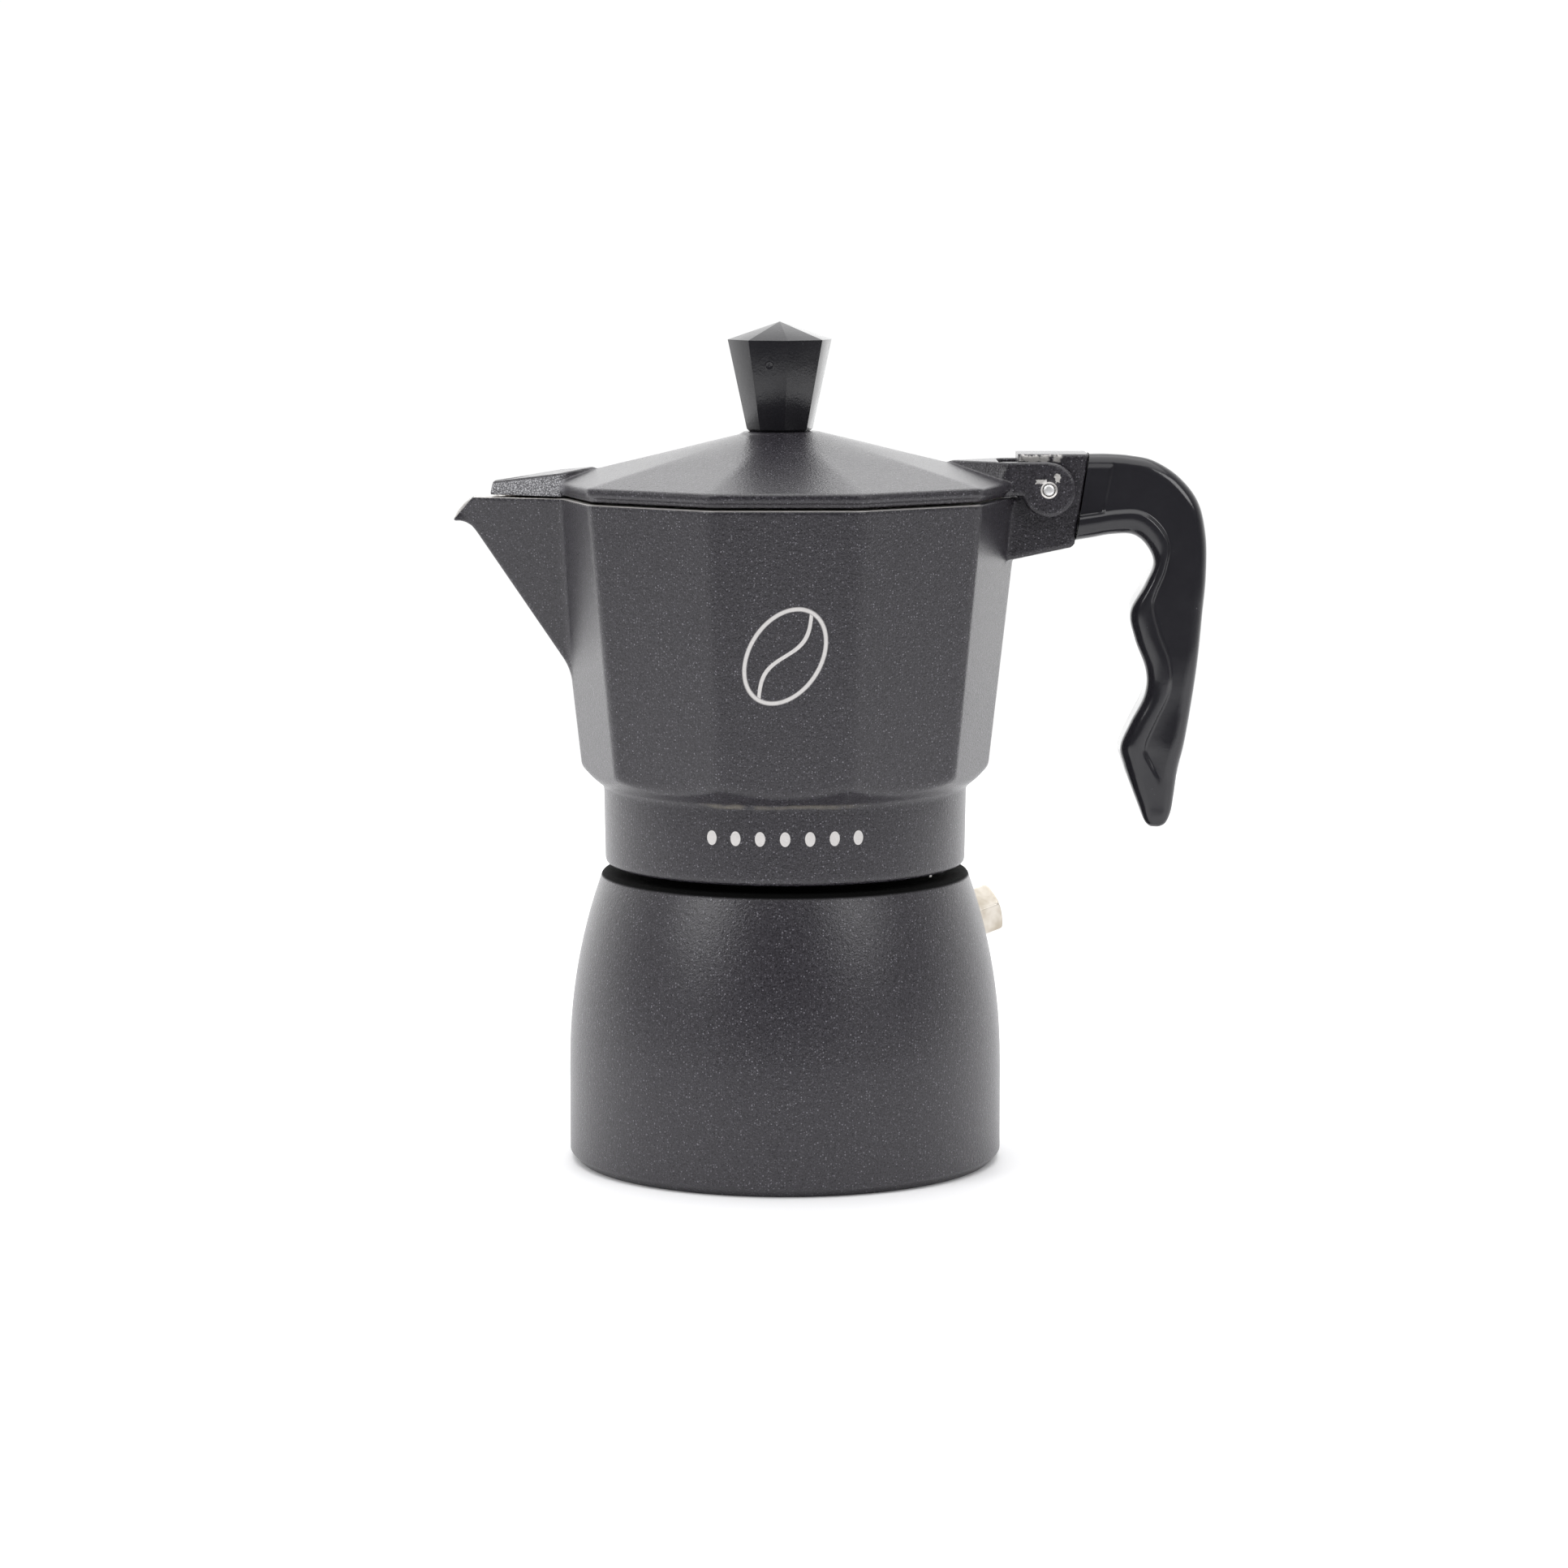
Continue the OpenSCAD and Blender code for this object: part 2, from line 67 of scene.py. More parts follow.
# ---------------------------------------------------------------- sizes, as in the CAD part
BOILER_R, FOOT_R, SHOULDER_Z, SHOULDER_ARC = 41.0, 39.3, 19.0, 104.5
LEDGE_Z, NECK_TOP_Z, NECK_R, MOUTH_R = 55.1, 65.5, 30.6, 28.5
BOILER_WALL, BOILER_FLOOR = 2.6, 3.0
PITCH, THREAD_DEPTH, THREAD_ROOT, THREAD_CREST = 3.0, 0.95, 1.7, 0.9
THREAD_START = LEDGE_Z + 2.4
SKIRT_BORE_R, SKIRT_Z, WAIST_R = 32.1, 56.6, 34.3
CEILING_Z, CHAMBER_R, CHAMBER_TOP = 70.9, 26.0, 71.8
FACETS, RIM_R, BASE_R, RIM_Z, CHAMFER_Z = 10, 44.4, 38.7, 126.0, 75.0
FLOOR_Z, WALL = 74.4, 2.0
COLUMN_Z, COLUMN_R, COLUMN_FOOT_R, COLUMN_BORE = 110.0, 5.2, 6.8, 3.4
HINGE_X, HINGE_Z, PIN_R = 49.2, 127.5, 1.15
BLOCK_W, EARS_W, EAR_R, EAR_GAP = 11.2, 16.4, 5.1, 0.3
BLOCK_TOP_Z = HINGE_Z + 6.6
SLOT_X = HINGE_X - 9.2
LID_R, LID_BAND_Z, LID_STEP_Z, LID_TOP_Z, LID_WALL = 44.7, 128.9, 126.4, 138.1, 1.9
LID_CREST_R, LID_RIM_W = 6.3, 2
BEAK_Z, BEAK_TOP_Z, BEAK_TIP_X, BEAK_SLOPE = 126.3, 128.8, 54.6, 0.1436
KNOB_X, KNOB_BOTTOM_R, KNOB_RIM_R, KNOB_RIM_Z, KNOB_TIP_Z = -1.0, 6.2, 9.85, 155.3, 158.6
KNOB_TURN = math.radians(8.8)
VALVE_Z, VALVE_AZIMUTH, VALVE_TILT = 43.0, math.radians(26), math.radians(15)
VALVE_FLATS, VALVE_OUT, SEAT_DEPTH, SEAT_R = 9.0, 6.5, 0.35, 5.2
SHANK_R, VALVE_BORE_R, VALVE_HOLE_R, VALVE_TURN = 3, 2.2, 1.2, math.radians(11)
SPRING_LOW, SPRING_TOP = -1.1, 4.6
HANDLE_W, HANDLE_SCREW_X = 14.0, 61
APOTHEM = math.cos(math.pi / FACETS)
FACET_LEAN = (RIM_R - BASE_R) / (RIM_Z - CHAMFER_Z) * APOTHEM
LID_SLOPE = (LID_TOP_Z - LID_BAND_Z) / (LID_R - LID_CREST_R)


# ---------------------------------------------------------------- solids as signed distances
class Grid:
    """Sample points between two corners, a step apart."""

    def __init__(self, low, high, step):
        self.low, self.step = np.array(low, float), step
        axes = [np.arange(a, b + step, step, dtype=np.float32) for a, b in zip(low, high)]
        self.shape = tuple(len(a) for a in axes)
        self.x = axes[0][:, None, None]
        self.y = axes[1][None, :, None]
        self.z = axes[2][None, None, :]


def smin(a, b, k):
    """The union of two solids, with a fillet of about k."""
    h = np.clip(0.5 + 0.5 * (b - a) / k, 0, 1)
    return b + (a - b) * h - k * h * (1 - h)


def smax(a, b, k):
    """The part that two solids share, with its edge rounded by about k."""
    return -smin(-a, -b, k)


def ramp(t):
    t = np.clip(t, 0, 1)
    return t * t * (3 - 2 * t)


def prism_distance(x, y, sides, blend, turn=0.0):
    """Distance from the axis to the nearest flat side, with the corners blended."""
    out = None
    for k in range(sides):
        a = math.pi * (2 * k + 1) / sides + turn
        d = x * math.cos(a) + y * math.sin(a)
        out = d if out is None else smax(out, d, blend)
    return out


def outline_distance(px, py, corners):
    """Signed distance to a closed outline, negative inside it."""
    best = np.full(np.broadcast(px, py).shape, 1e9, np.float32)
    inside = np.zeros(best.shape, bool)
    for (ax, ay), (bx, by) in zip(corners, corners[1:] + corners[:1]):
        ex, ey = bx - ax, by - ay
        t = np.clip(((px - ax) * ex + (py - ay) * ey) / (ex * ex + ey * ey), 0, 1)
        best = np.minimum(best, (px - ax - ex * t) ** 2 + (py - ay - ey * t) ** 2)
        if ay != by:
            crossed = (ay > py) != (by > py)
            inside ^= crossed & (px < ex * (py - ay) / ey + ax)
    return np.where(inside, -1, 1) * np.sqrt(best)


def thread_ridge(r, angle, z, start, turns, crest_r, root_r):
    """A right-handed ridge between two radii."""
    turn = angle / (2 * math.pi)
    count = np.round((z - start) / PITCH - turn)
    off = z - start - (turn + count) * PITCH
    along = turn + count
    toward_crest = (r - root_r) / (crest_r - root_r)
    half = (THREAD_ROOT + (THREAD_CREST - THREAD_ROOT) * toward_crest) / 2
    side = np.abs(off) - half
    crest = (r - crest_r) * (1 if crest_r > root_r else -1)
    ends = np.maximum(-along, along - turns) * 8
    return np.maximum(np.maximum(side, crest), ends)


def mesh_of(name, points, faces):
    """A mesh object from points in millimetres, with its faces turned outward."""
    mesh = bpy.data.meshes.new(name)
    mesh.from_pydata((np.asarray(points) * MM).tolist(), [], [list(map(int, f)) for f in faces])
    bm = bmesh.new()
    bm.from_mesh(mesh)
    bmesh.ops.remove_doubles(bm, verts=bm.verts, dist=1e-7)
    bmesh.ops.recalc_face_normals(bm, faces=bm.faces)
    bm.to_mesh(mesh)
    bm.free()
    obj = bpy.data.objects.new(name, mesh)
    bpy.context.scene.collection.objects.link(obj)
    return obj


def solid_of(name, grid, field, keep=1.0):
    """The surface where a field is zero. keep is the share of faces left after thinning."""
    values = np.ascontiguousarray(np.broadcast_to(field, grid.shape), np.float32)
    vdb = openvdb.FloatGrid(3.0)
    vdb.copyFromArray(np.clip(values, -3, 3))
    points, quads = vdb.convertToQuads(0.0)
    obj = mesh_of(name, points * grid.step + grid.low, quads)
    if keep < 1:
        thin = obj.modifiers.new("thin", "DECIMATE")
        thin.ratio = keep
        apply_modifiers(obj)
    return obj


def apply_modifiers(obj):
    bpy.context.view_layer.update()
    graph = bpy.context.evaluated_depsgraph_get()
    mesh = bpy.data.meshes.new_from_object(obj.evaluated_get(graph))
    old = obj.data
    obj.modifiers.clear()
    obj.data = mesh
    mesh.name = obj.name
    bpy.data.meshes.remove(old)


def smooth(obj, angle=35):
    """Shades smoothly, with edges sharper than the angle left crisp."""
    obj.data.shade_smooth()
    obj.data.set_sharp_from_angle(angle=math.radians(angle))
    return obj


def cut(obj, tool, operation="DIFFERENCE"):
    """Joins a second mesh to obj, or takes it away."""
    mod = obj.modifiers.new("cut", "BOOLEAN")
    mod.operation, mod.object, mod.solver = operation, tool, "EXACT"
    apply_modifiers(obj)
    bpy.data.objects.remove(tool)
    return obj


# ---------------------------------------------------------------- sections and lathes
def filleted(corners, steps=5):
    """An open outline of (r, z, fillet) corners with its fillets drawn in."""
    out = []
    for i, (r, z, fillet) in enumerate(corners):
        here = Vector((r, z))
        if fillet <= 0 or i in (0, len(corners) - 1):
            out.append((r, z))
            continue
        to_last = (Vector(corners[i - 1][:2]) - here).normalized()
        to_next = (Vector(corners[i + 1][:2]) - here).normalized()
        half = to_last.angle(to_next) / 2
        reach = fillet / math.tan(half)
        centre = here + (to_last + to_next).normalized() * fillet / math.sin(half)
        a = here + to_last * reach - centre
        b = here + to_next * reach - centre
        for k in range(steps + 1):
            p = centre + (a * (1 - k / steps) + b * k / steps).normalized() * fillet
            out.append((p.x, p.y))
    return out


def lathe(name, outline, sides=160, turn=0.0, closed=True):
    """Turns an outline of (r, z) about the Z axis."""
    points, faces, n = [], [], len(outline)
    for k in range(sides):
        a = 2 * math.pi * k / sides + turn
        points += [(r * math.cos(a), r * math.sin(a), z) for r, z in outline]
    for k in range(sides):
        m = (k + 1) % sides
        for i in range(n if closed else n - 1):
            j = (i + 1) % n
            faces.append((k * n + i, m * n + i, m * n + j, k * n + j))
    obj = mesh_of(name, points, faces)
    drop_slivers(obj)
    return obj


def drop_slivers(obj):
    """Removes the faces that shrink to a line on the axis."""
    bm = bmesh.new()
    bm.from_mesh(obj.data)
    bmesh.ops.dissolve_degenerate(bm, dist=1e-7, edges=bm.edges)
    bmesh.ops.recalc_face_normals(bm, faces=bm.faces)
    bm.to_mesh(obj.data)
    bm.free()


def drill(obj, r, low, high, place=Matrix(), sides=48):
    """Cuts a round hole between two heights on the Z axis of a place."""
    tool = lathe("tool", [(0, low), (r, low), (r, high), (0, high)], sides, closed=False)
    tool.data.transform(place)
    return cut(obj, tool)


def spline(points, steps):
    """One smooth curve through points, passing each of them."""
    p = np.array(points, float)
    p = np.vstack([2 * p[0] - p[1], p, 2 * p[-1] - p[-2]])
    out = []
    for i in range(1, len(p) - 2):
        for t in np.arange(steps) / steps:
            a, b, c, d = p[i - 1:i + 3]
            out.append(0.5 * (2 * b + (c - a) * t + (2 * a - 5 * b + 4 * c - d) * t * t
                              + (3 * b - a - 3 * c + d) * t ** 3))
    out.append(p[-2])
    return np.array(out)


def box_tool(low, high):
    low, high = np.array(low), np.array(high)
    corners = [[(low, high)[b][k] for k, b in enumerate((i & 1, i >> 1 & 1, i >> 2))]
               for i in range(8)]
    faces = [(0, 2, 3, 1), (4, 5, 7, 6), (0, 1, 5, 4), (2, 6, 7, 3), (0, 4, 6, 2), (1, 3, 7, 5)]
    return mesh_of("tool", corners, faces)


def shoulder_r(z):
    return BOILER_R - SHOULDER_ARC + math.sqrt(SHOULDER_ARC ** 2 - (z - SHOULDER_Z) ** 2)


VALVE_PLACE = (Matrix.Rotation(VALVE_AZIMUTH, 4, "Z")
               @ Matrix.Translation((shoulder_r(VALVE_Z) * MM, 0, VALVE_Z * MM))
               @ Matrix.Rotation(math.pi / 2 - VALVE_TILT, 4, "Y"))


# ---------------------------------------------------------------- pieces
def boiler():
    steps = np.linspace(SHOULDER_Z + 1, LEDGE_Z - 1.2, 26)
    outside = [(FOOT_R - 1.5, 0.35, 0), (FOOT_R - 0.6, 0, 0.3), (FOOT_R, 0, 0.3),
               (BOILER_R, 1.7, 0.8), (BOILER_R, SHOULDER_Z - 1, 0)]
    shoulder = [(shoulder_r(z) - 0.04, z, 0) for z in steps]
    top = [(shoulder_r(LEDGE_Z), LEDGE_Z, 1.1), (NECK_R, LEDGE_Z, 0.4),
           (NECK_R, NECK_TOP_Z, 0.5), (MOUTH_R, NECK_TOP_Z, 0.3), (MOUTH_R, LEDGE_Z - 2.6, 1.5)]
    down = [(shoulder_r(z) - BOILER_WALL, z, 0) for z in np.linspace(LEDGE_Z - 6, SHOULDER_Z, 16)]
    bottom = [(BOILER_R - BOILER_WALL, BOILER_FLOOR, 3.0), (0, BOILER_FLOOR, 0)]
    outline = [(0, 0.35, 0)] + outside + shoulder + top + down + bottom
    pot = lathe("boiler_casting", filleted(outline), 192, closed=False)
    ridge = helix("tool", THREAD_START, 2.25, NECK_R - 0.3, THREAD_ROOT, NECK_R + THREAD_DEPTH,
                  THREAD_CREST, 96)
    cut(pot, ridge, "UNION")
    drill(pot, SEAT_R, -SEAT_DEPTH, 3, VALVE_PLACE)
    drill(pot, SHANK_R + 0.02, -8, 2, VALVE_PLACE)
    return smooth(pot, 32)


def helix(name, start, turns, r_in, w_in, r_out, w_out, steps):
    """A ridge with a four-cornered section that runs up a right-handed helix and fades out."""
    fade = 0.06
    points, faces, n = [], [], int(turns * steps)
    for i in range(n + 1):
        a, z = 2 * math.pi * i / steps, start + PITCH * i / steps
        full = min(1.0, i / n / fade + 0.05, (n - i) / n / fade + 0.05)
        out = r_in + (r_out - r_in) * full
        for r, h in ((r_in, -w_in), (out, -w_out), (out, w_out), (r_in, w_in)):
            points.append((r * math.cos(a), r * math.sin(a), z + h / 2))
        if i:
            b = 4 * (i - 1)
            faces += [(b + k, b + (k + 1) % 4, b + 4 + (k + 1) % 4, b + 4 + k) for k in range(4)]
    faces += [(3, 2, 1, 0), (4 * n, 4 * n + 1, 4 * n + 2, 4 * n + 3)]
    return mesh_of(name, points, faces)


KEEL_LOW, KEEL_HIGH = (-42.1, 95.7), (-58.6, 119.8)


def spout_half(x, z):
    """Half of the spout's width, inside its rounded front edge."""
    slope = (KEEL_HIGH[0] - KEEL_LOW[0]) / (KEEL_HIGH[1] - KEEL_LOW[1])
    keel_x = KEEL_LOW[0] + slope * (z - KEEL_LOW[1])
    return 0.35 * np.maximum(x - keel_x, -0.2)


def spout_fields(g):
    """The spout's outside, and the channel inside it."""
    outside = [(-36, RIM_Z + 2), (-58.6, RIM_Z + 2), (-58.7, RIM_Z - 0.2), (-60.3, 124.8),
               (-61.5, 123.3), (-62.6, 121.2), (-61.1, 121.3), (-60, 121), (-59, 120.4),
               (-58.2, 119.5), KEEL_LOW, (-36, 87)]
    channel = [(-30, 131), (-66, 131), (-66, 122.7), (-61, 122.5), (-59, 121.9), (-57.4, 120.6),
               (-40.6, 96.8), (-30, 81)]
    half = spout_half(g.x, g.z)
    wall = 0.75 + 0.75 * ramp((g.x + 60) / 10)
    shell = smax(outline_distance(g.x, g.z, outside), 0.92 * (np.abs(g.y) - half - 0.9), 0.45)
    shell = np.maximum(shell, g.z - RIM_Z)
    hollow = np.maximum(outline_distance(g.x, g.z, channel),
                        0.92 * (np.abs(g.y) - half - 0.9 + wall))
    hollow = np.maximum(hollow, 0.35 - half)
    return shell, np.maximum(hollow, g.x + 34)


def hinge_block(g):
    front = HINGE_X - 5.7
    outline = [(38, 114), (42.7, 114.3), (53.6, 116.6), (54.2, 117.2), (56.8, BLOCK_TOP_Z),
               (front, BLOCK_TOP_Z), (front, RIM_Z), (38, RIM_Z)]
    slab = smax(outline_distance(g.x, g.z, outline), np.abs(g.y) - BLOCK_W / 2, 0.7)
    return np.maximum(slab, 37 - g.x)


def jug_fields(g, r, side):
    """The jug's outside, which is facets over a cone and a round waist, and the cavity in it."""
    flat = APOTHEM * BASE_R + FACET_LEAN * (g.z - CHAMFER_Z)
    upright = 1 / math.hypot(1, FACET_LEAN)
    body = (side - flat) * upright
    body = smax(body, (r - 34.8 - (g.z - 71.8) * 1.22) * 0.634, 0.7)
    body = np.maximum(body, 70.6 - g.z)
    waist = r - WAIST_R + 0.25 * (72 - g.z) / 14
    waist = np.maximum(smax(waist, SKIRT_Z - g.z, 1.3), g.z - 73)
    cavity = smax((side - flat + WALL) * upright, FLOOR_Z - g.z, 4)
    return smin(body, waist, 0.5), cavity


def coffee_column(g, r):
    taper = (COLUMN_FOOT_R - COLUMN_R) / (COLUMN_Z - FLOOR_Z)
    column = smax(r - COLUMN_R - taper * (COLUMN_Z - g.z), g.z - COLUMN_Z, 0.6)
    return np.maximum(column, CHAMBER_TOP + 0.5 - g.z)


def skirt_hollow(g, r):
    """The threaded room under the floor, and the chamber over the filter plate."""
    angle = np.arctan2(g.y, g.x)
    under = np.maximum(r - SKIRT_BORE_R, g.z - CEILING_Z)
    under = np.minimum(under, np.maximum(r - CHAMBER_R, g.z - CHAMBER_TOP))
    ridge = thread_ridge(r, angle, g.z, THREAD_START + PITCH / 2, 2,
                         SKIRT_BORE_R - THREAD_DEPTH - 0.1, SKIRT_BORE_R + 0.3)
    return np.maximum(under, -ridge)


def handle_tenon(g):
    """The tongue inside the handle, with the hole for its screw."""
    tenon = np.maximum(np.maximum(np.abs(g.y) - 2.6, np.abs(g.z - 126.7) - 3.3),
                       np.maximum(50 - g.x, g.x - 65))
    screw = np.maximum(np.hypot(g.x - HANDLE_SCREW_X, g.y) - 1.5, g.z - 128)
    return np.maximum(tenon, -screw)


def collector():
    g = Grid((-64, -46, 55.4), (66.5, 46, 135.3), 0.38)
    r = np.hypot(g.x, g.y)
    solid, cavity = jug_fields(g, r, prism_distance(g.x, g.y, FACETS, 0.8))
    spout, channel = spout_fields(g)
    solid = smin(solid, spout, 1.2)
    solid = smax(solid, g.z - RIM_Z, 0.25)
    solid = smin(solid, hinge_block(g), 0.8)
    solid = smax(solid, -smin(cavity, channel, 0.6), 0.35)
    solid = smin(solid, coffee_column(g, r), 3)
    pin = np.hypot(g.x - HINGE_X, g.z - HINGE_Z) - PIN_R - 0.01
    holes = np.minimum(np.minimum(r - COLUMN_BORE, skirt_hollow(g, r)), pin)
    solid = smax(solid, -holes, 0.2)
    solid = np.minimum(solid, handle_tenon(g))
    return smooth(solid_of("collector_casting", g, solid, 0.4), 50)


def lid():
    g = Grid((-57.5, -46, 121.6), (55.6, 46, 139), 0.34)
    r = np.hypot(g.x, g.y)
    side = prism_distance(g.x, g.y, FACETS, 0.6)
    round_share = 1 - ramp((r - 12) / 20)
    reach = side / APOTHEM * (1 - round_share) + r * 1.02 * round_share
    upright = 1 / math.hypot(1, LID_SLOPE)
    cone = (g.z - LID_BAND_Z - (LID_R - reach) * LID_SLOPE) * upright
    band = side - APOTHEM * (LID_R - 0.85 * ramp((LID_STEP_Z + 1.1 - g.z) / 0.35))
    solid = smax(smax(cone, band, 0.45), LID_STEP_Z - g.z, 0.2)
    seat = np.maximum(np.hypot(g.x - KNOB_X, g.y) - 6.5, 134 - g.z)
    solid = smin(solid, seat, 1.5)
    solid = smax(solid, g.z - LID_TOP_Z, 0.25)
    solid = smin(solid, lid_beak(g), 0.5)
    solid = smin(solid, lid_ears(g), 0.5)
    hollow_r = LID_R - LID_RIM_W
    inner = (g.z - LID_STEP_Z - 1.1 - (hollow_r - reach) * LID_SLOPE * 1.04) * upright
    inner = smax(inner, side - APOTHEM * hollow_r, 1.5)
    inner = smax(inner, g.z - LID_TOP_Z + LID_WALL, 1)
    throat = outline_distance(g.x, g.y, [(-38, 5.5), (-38, -5.5), (-50.5, -0.9), (-50.5, 0.9)])
    throat = smax(throat, g.z - 128.2 - 0.04 * (g.x + 38), 1)
    solid = smax(solid, -np.minimum(inner, throat), 0.4)
    slot = np.maximum(np.abs(g.y) - BLOCK_W / 2 - EAR_GAP, SLOT_X - g.x)
    pin_off = np.hypot(g.x - HINGE_X, g.z - HINGE_Z)
    pin = pin_off - PIN_R - 0.05 - 0.45 * ramp((np.abs(g.y) - EARS_W / 2 + 0.3) / 0.3)
    screw = np.hypot(g.x - KNOB_X, g.y) - 2.2
    solid = smax(solid, -np.minimum(np.minimum(slot, pin), screw), 0.25)
    return smooth(solid_of("lid_casting", g, solid, 0.6), 55)


def lid_beak(g):
    """The kite-shaped cover over the spout, with a shallow groove near its tip."""
    kite = [(-34.4, 0), (-42, 8.0), (-55.2, 1.8), (-55.2, -1.8), (-42, -8.0)]
    top = BEAK_TOP_Z + (g.x + BEAK_TIP_X) * BEAK_SLOPE
    lean = 0.22 * (g.z - 127.2)
    flank = (outline_distance(g.x, g.y, kite) + lean) * 0.97
    groove = 0.7 * ramp((-47.5 - g.x) / 4) * ramp(1.5 - np.abs(g.y) / 0.8)
    beak = smax(flank, (g.z - top + groove) * 0.99, 0.35)
    return np.maximum(beak, BEAK_Z - g.z)


def lid_ears(g):
    """The wedge on the cone, and the two ears that it ends in."""
    wedge_z = HINGE_Z + EAR_R + 0.1
    ear_t = (EARS_W - BLOCK_W) / 2 - EAR_GAP
    y = np.abs(g.y)
    flank = 0.954 * ((31.2 - g.x) * 0.5908 + (y - 0.3) * 0.8069 - 0.31 * (wedge_z - g.z))
    wedge = smax(smax(flank, g.z - wedge_z, 0.5), y - EARS_W / 2, 0.6)
    wedge = np.maximum(np.maximum(wedge, LID_STEP_Z - g.z), g.x - HINGE_X)
    disc = np.hypot(g.x - HINGE_X, g.z - HINGE_Z) - EAR_R
    arm = smax(g.z - wedge_z, LID_STEP_Z - g.z, 0.3)
    arm = np.maximum(np.maximum(arm, g.x - HINGE_X), 41 - g.x)
    across = np.abs(y - EARS_W / 2 + ear_t / 2) - ear_t / 2
    ear = smax(smin(disc, arm, 0.3), across, 0.8)
    return np.minimum(wedge, ear)


def knob():
    ring = [(KNOB_BOTTOM_R - 0.5, LID_TOP_Z), (KNOB_BOTTOM_R + 0.05, LID_TOP_Z + 0.5),
            (KNOB_RIM_R, KNOB_RIM_Z), (0.02, KNOB_TIP_Z)]
    outline = [(0, LID_TOP_Z + 0.3)] + ring + [(0, KNOB_TIP_Z)]
    piece = lathe("knob_moulding", outline, 8, KNOB_TURN, closed=False)
    soften(piece, 0.22, 3, 15)
    drill(piece, 3.2, LID_TOP_Z - 1, LID_TOP_Z + 11.5)
    piece.data.transform(Matrix.Translation((KNOB_X * MM, 0, 0)))
    return smooth(piece, 20)


def soften(obj, width, segments, angle):
    mod = obj.modifiers.new("edges", "BEVEL")
    mod.width, mod.segments = width * MM, segments
    mod.limit_method, mod.angle_limit = "ANGLE", math.radians(angle)
    mod.harden_normals = False
    apply_modifiers(obj)


# Matching points of the handle's finger side and back, from the joint to the tip
HANDLE_PAIRS = [
    ((54.4, 117.9), (56.9, 134.1)), ((57.5, 118.4), (60.4, 134.1)), ((61, 119), (64.5, 133.8)),
    ((65, 119), (69, 132.8)), ((67.6, 117.1), (73.8, 129.7)), ((69, 113.8), (77.4, 125)),
    ((67.5, 109.8), (78.9, 118.5)), ((64.8, 104.5), (79, 111)), ((65.7, 99.3), (78.4, 104)),
    ((67.8, 93.5), (77.8, 97)), ((67.6, 88.8), (77, 90.5)), ((65, 83.5), (76, 84)),
    ((63.2, 79), (75.1, 79)), ((63.9, 75.3), (74.1, 74.7)), ((65.7, 70.3), (73.4, 70)),
    ((66.9, 67.2), (72.9, 66.9)), ((67.8, 64.9), (72, 64.7)), ((68.7, 63.9), (70.9, 63.8)),
    ((69.6, 63.5), (69.8, 63.5))]
BEAD_R, BEAD_TOP, GROOVE, BACK_R = 3.1, 0.8, 1.1, 2.6
PANEL_SINK, INSET_SINK = 0.7, 0.45


def handle_section(width, u):
    """Half of a cross-section: (distance from the finger side, half thickness) pairs."""
    shift = 1.1 * float(ramp((u - 12) / 1.6) * (1 - ramp((u - 13.8) / 1.2)))
    fit = min(1.0, width / (BEAD_R + BEAD_TOP + shift + GROOVE + BACK_R + 0.8))
    half = HANDLE_W / 2 * (1 - 0.22 * float(ramp((u - 9) / 6)))
    half *= max(1 - (max(u - 15, 0) / 3.1) ** 2.5, 0) ** 0.5
    inner, outer = min(BEAD_R * fit, half * 0.95), min(BACK_R * fit, half * 0.9)
    flat = half - PANEL_SINK * (1 - float(ramp((u - 12.2) / 1.5)))
    rise = (half - flat) * float(ramp((u - 10.2) / 2.2))
    start = inner + (BEAD_TOP + shift) * fit
    low, high = start + GROOVE * fit, width - outer
    quarter = [math.pi / 2 * k / 10 for k in range(1, 11)]
    out = [(0, (half - inner) * k / 4) for k in range(5)]
    out += [(inner * (1 - math.cos(a)), half - inner + inner * math.sin(a)) for a in quarter]
    out += [(start + GROOVE * fit * k / 7, half - (half - flat) * float(ramp(k / 7)))
            for k in range(8)]
    out += [(low + (high - low) * k / 20, flat + rise * k / 20) for k in range(1, 21)]
    far = flat + rise
    out += [(high + outer * math.sin(a), far - outer + outer * math.cos(a)) for a in quarter]
    out += [(width, (far - outer) * (1 - k / 4)) for k in range(1, 5)]
    inset = float(ramp((1.38 - u) / 0.1))
    for i, (d, h) in enumerate(out):
        within = float(ramp((d - 4.4) / 0.5) * ramp((width - 1.7 - d) / 0.7))
        out[i] = (d, h - INSET_SINK * inset * within)
    return out


def handle():
    steps = 12
    fingers = spline([p[0] for p in HANDLE_PAIRS], steps)
    back = spline([p[1] for p in HANDLE_PAIRS], steps)
    points, faces, loop = [], [], 0
    for i, (a, b) in enumerate(zip(fingers, back)):
        width = float(np.hypot(*(b - a)))
        half = handle_section(width, i / steps)
        side = [(d, h) for d, h in half] + [(d, -h) for d, h in half[-2:0:-1]]
        loop = len(side)
        points += [(a[0] + (b[0] - a[0]) * d / width, h, a[1] + (b[1] - a[1]) * d / width)
                   for d, h in side]
        if i:
            s = (i - 1) * loop
            faces += [(s + k, s + (k + 1) % loop, s + loop + (k + 1) % loop, s + loop + k)
                      for k in range(loop)]
    faces += [tuple(range(loop)), tuple(range(len(points) - loop, len(points)))]
    piece = mesh_of("handle_moulding", points, faces)
    cut(piece, box_tool((50, -2.75, 123.25), (65.15, 2.75, 130.15)))
    for radius, top in ((3.0, 121.2), (1.75, 125)):
        drill(piece, radius, 112, top, Matrix.Translation((HANDLE_SCREW_X * MM, 0, 0)), 40)
    return smooth(piece, 40)


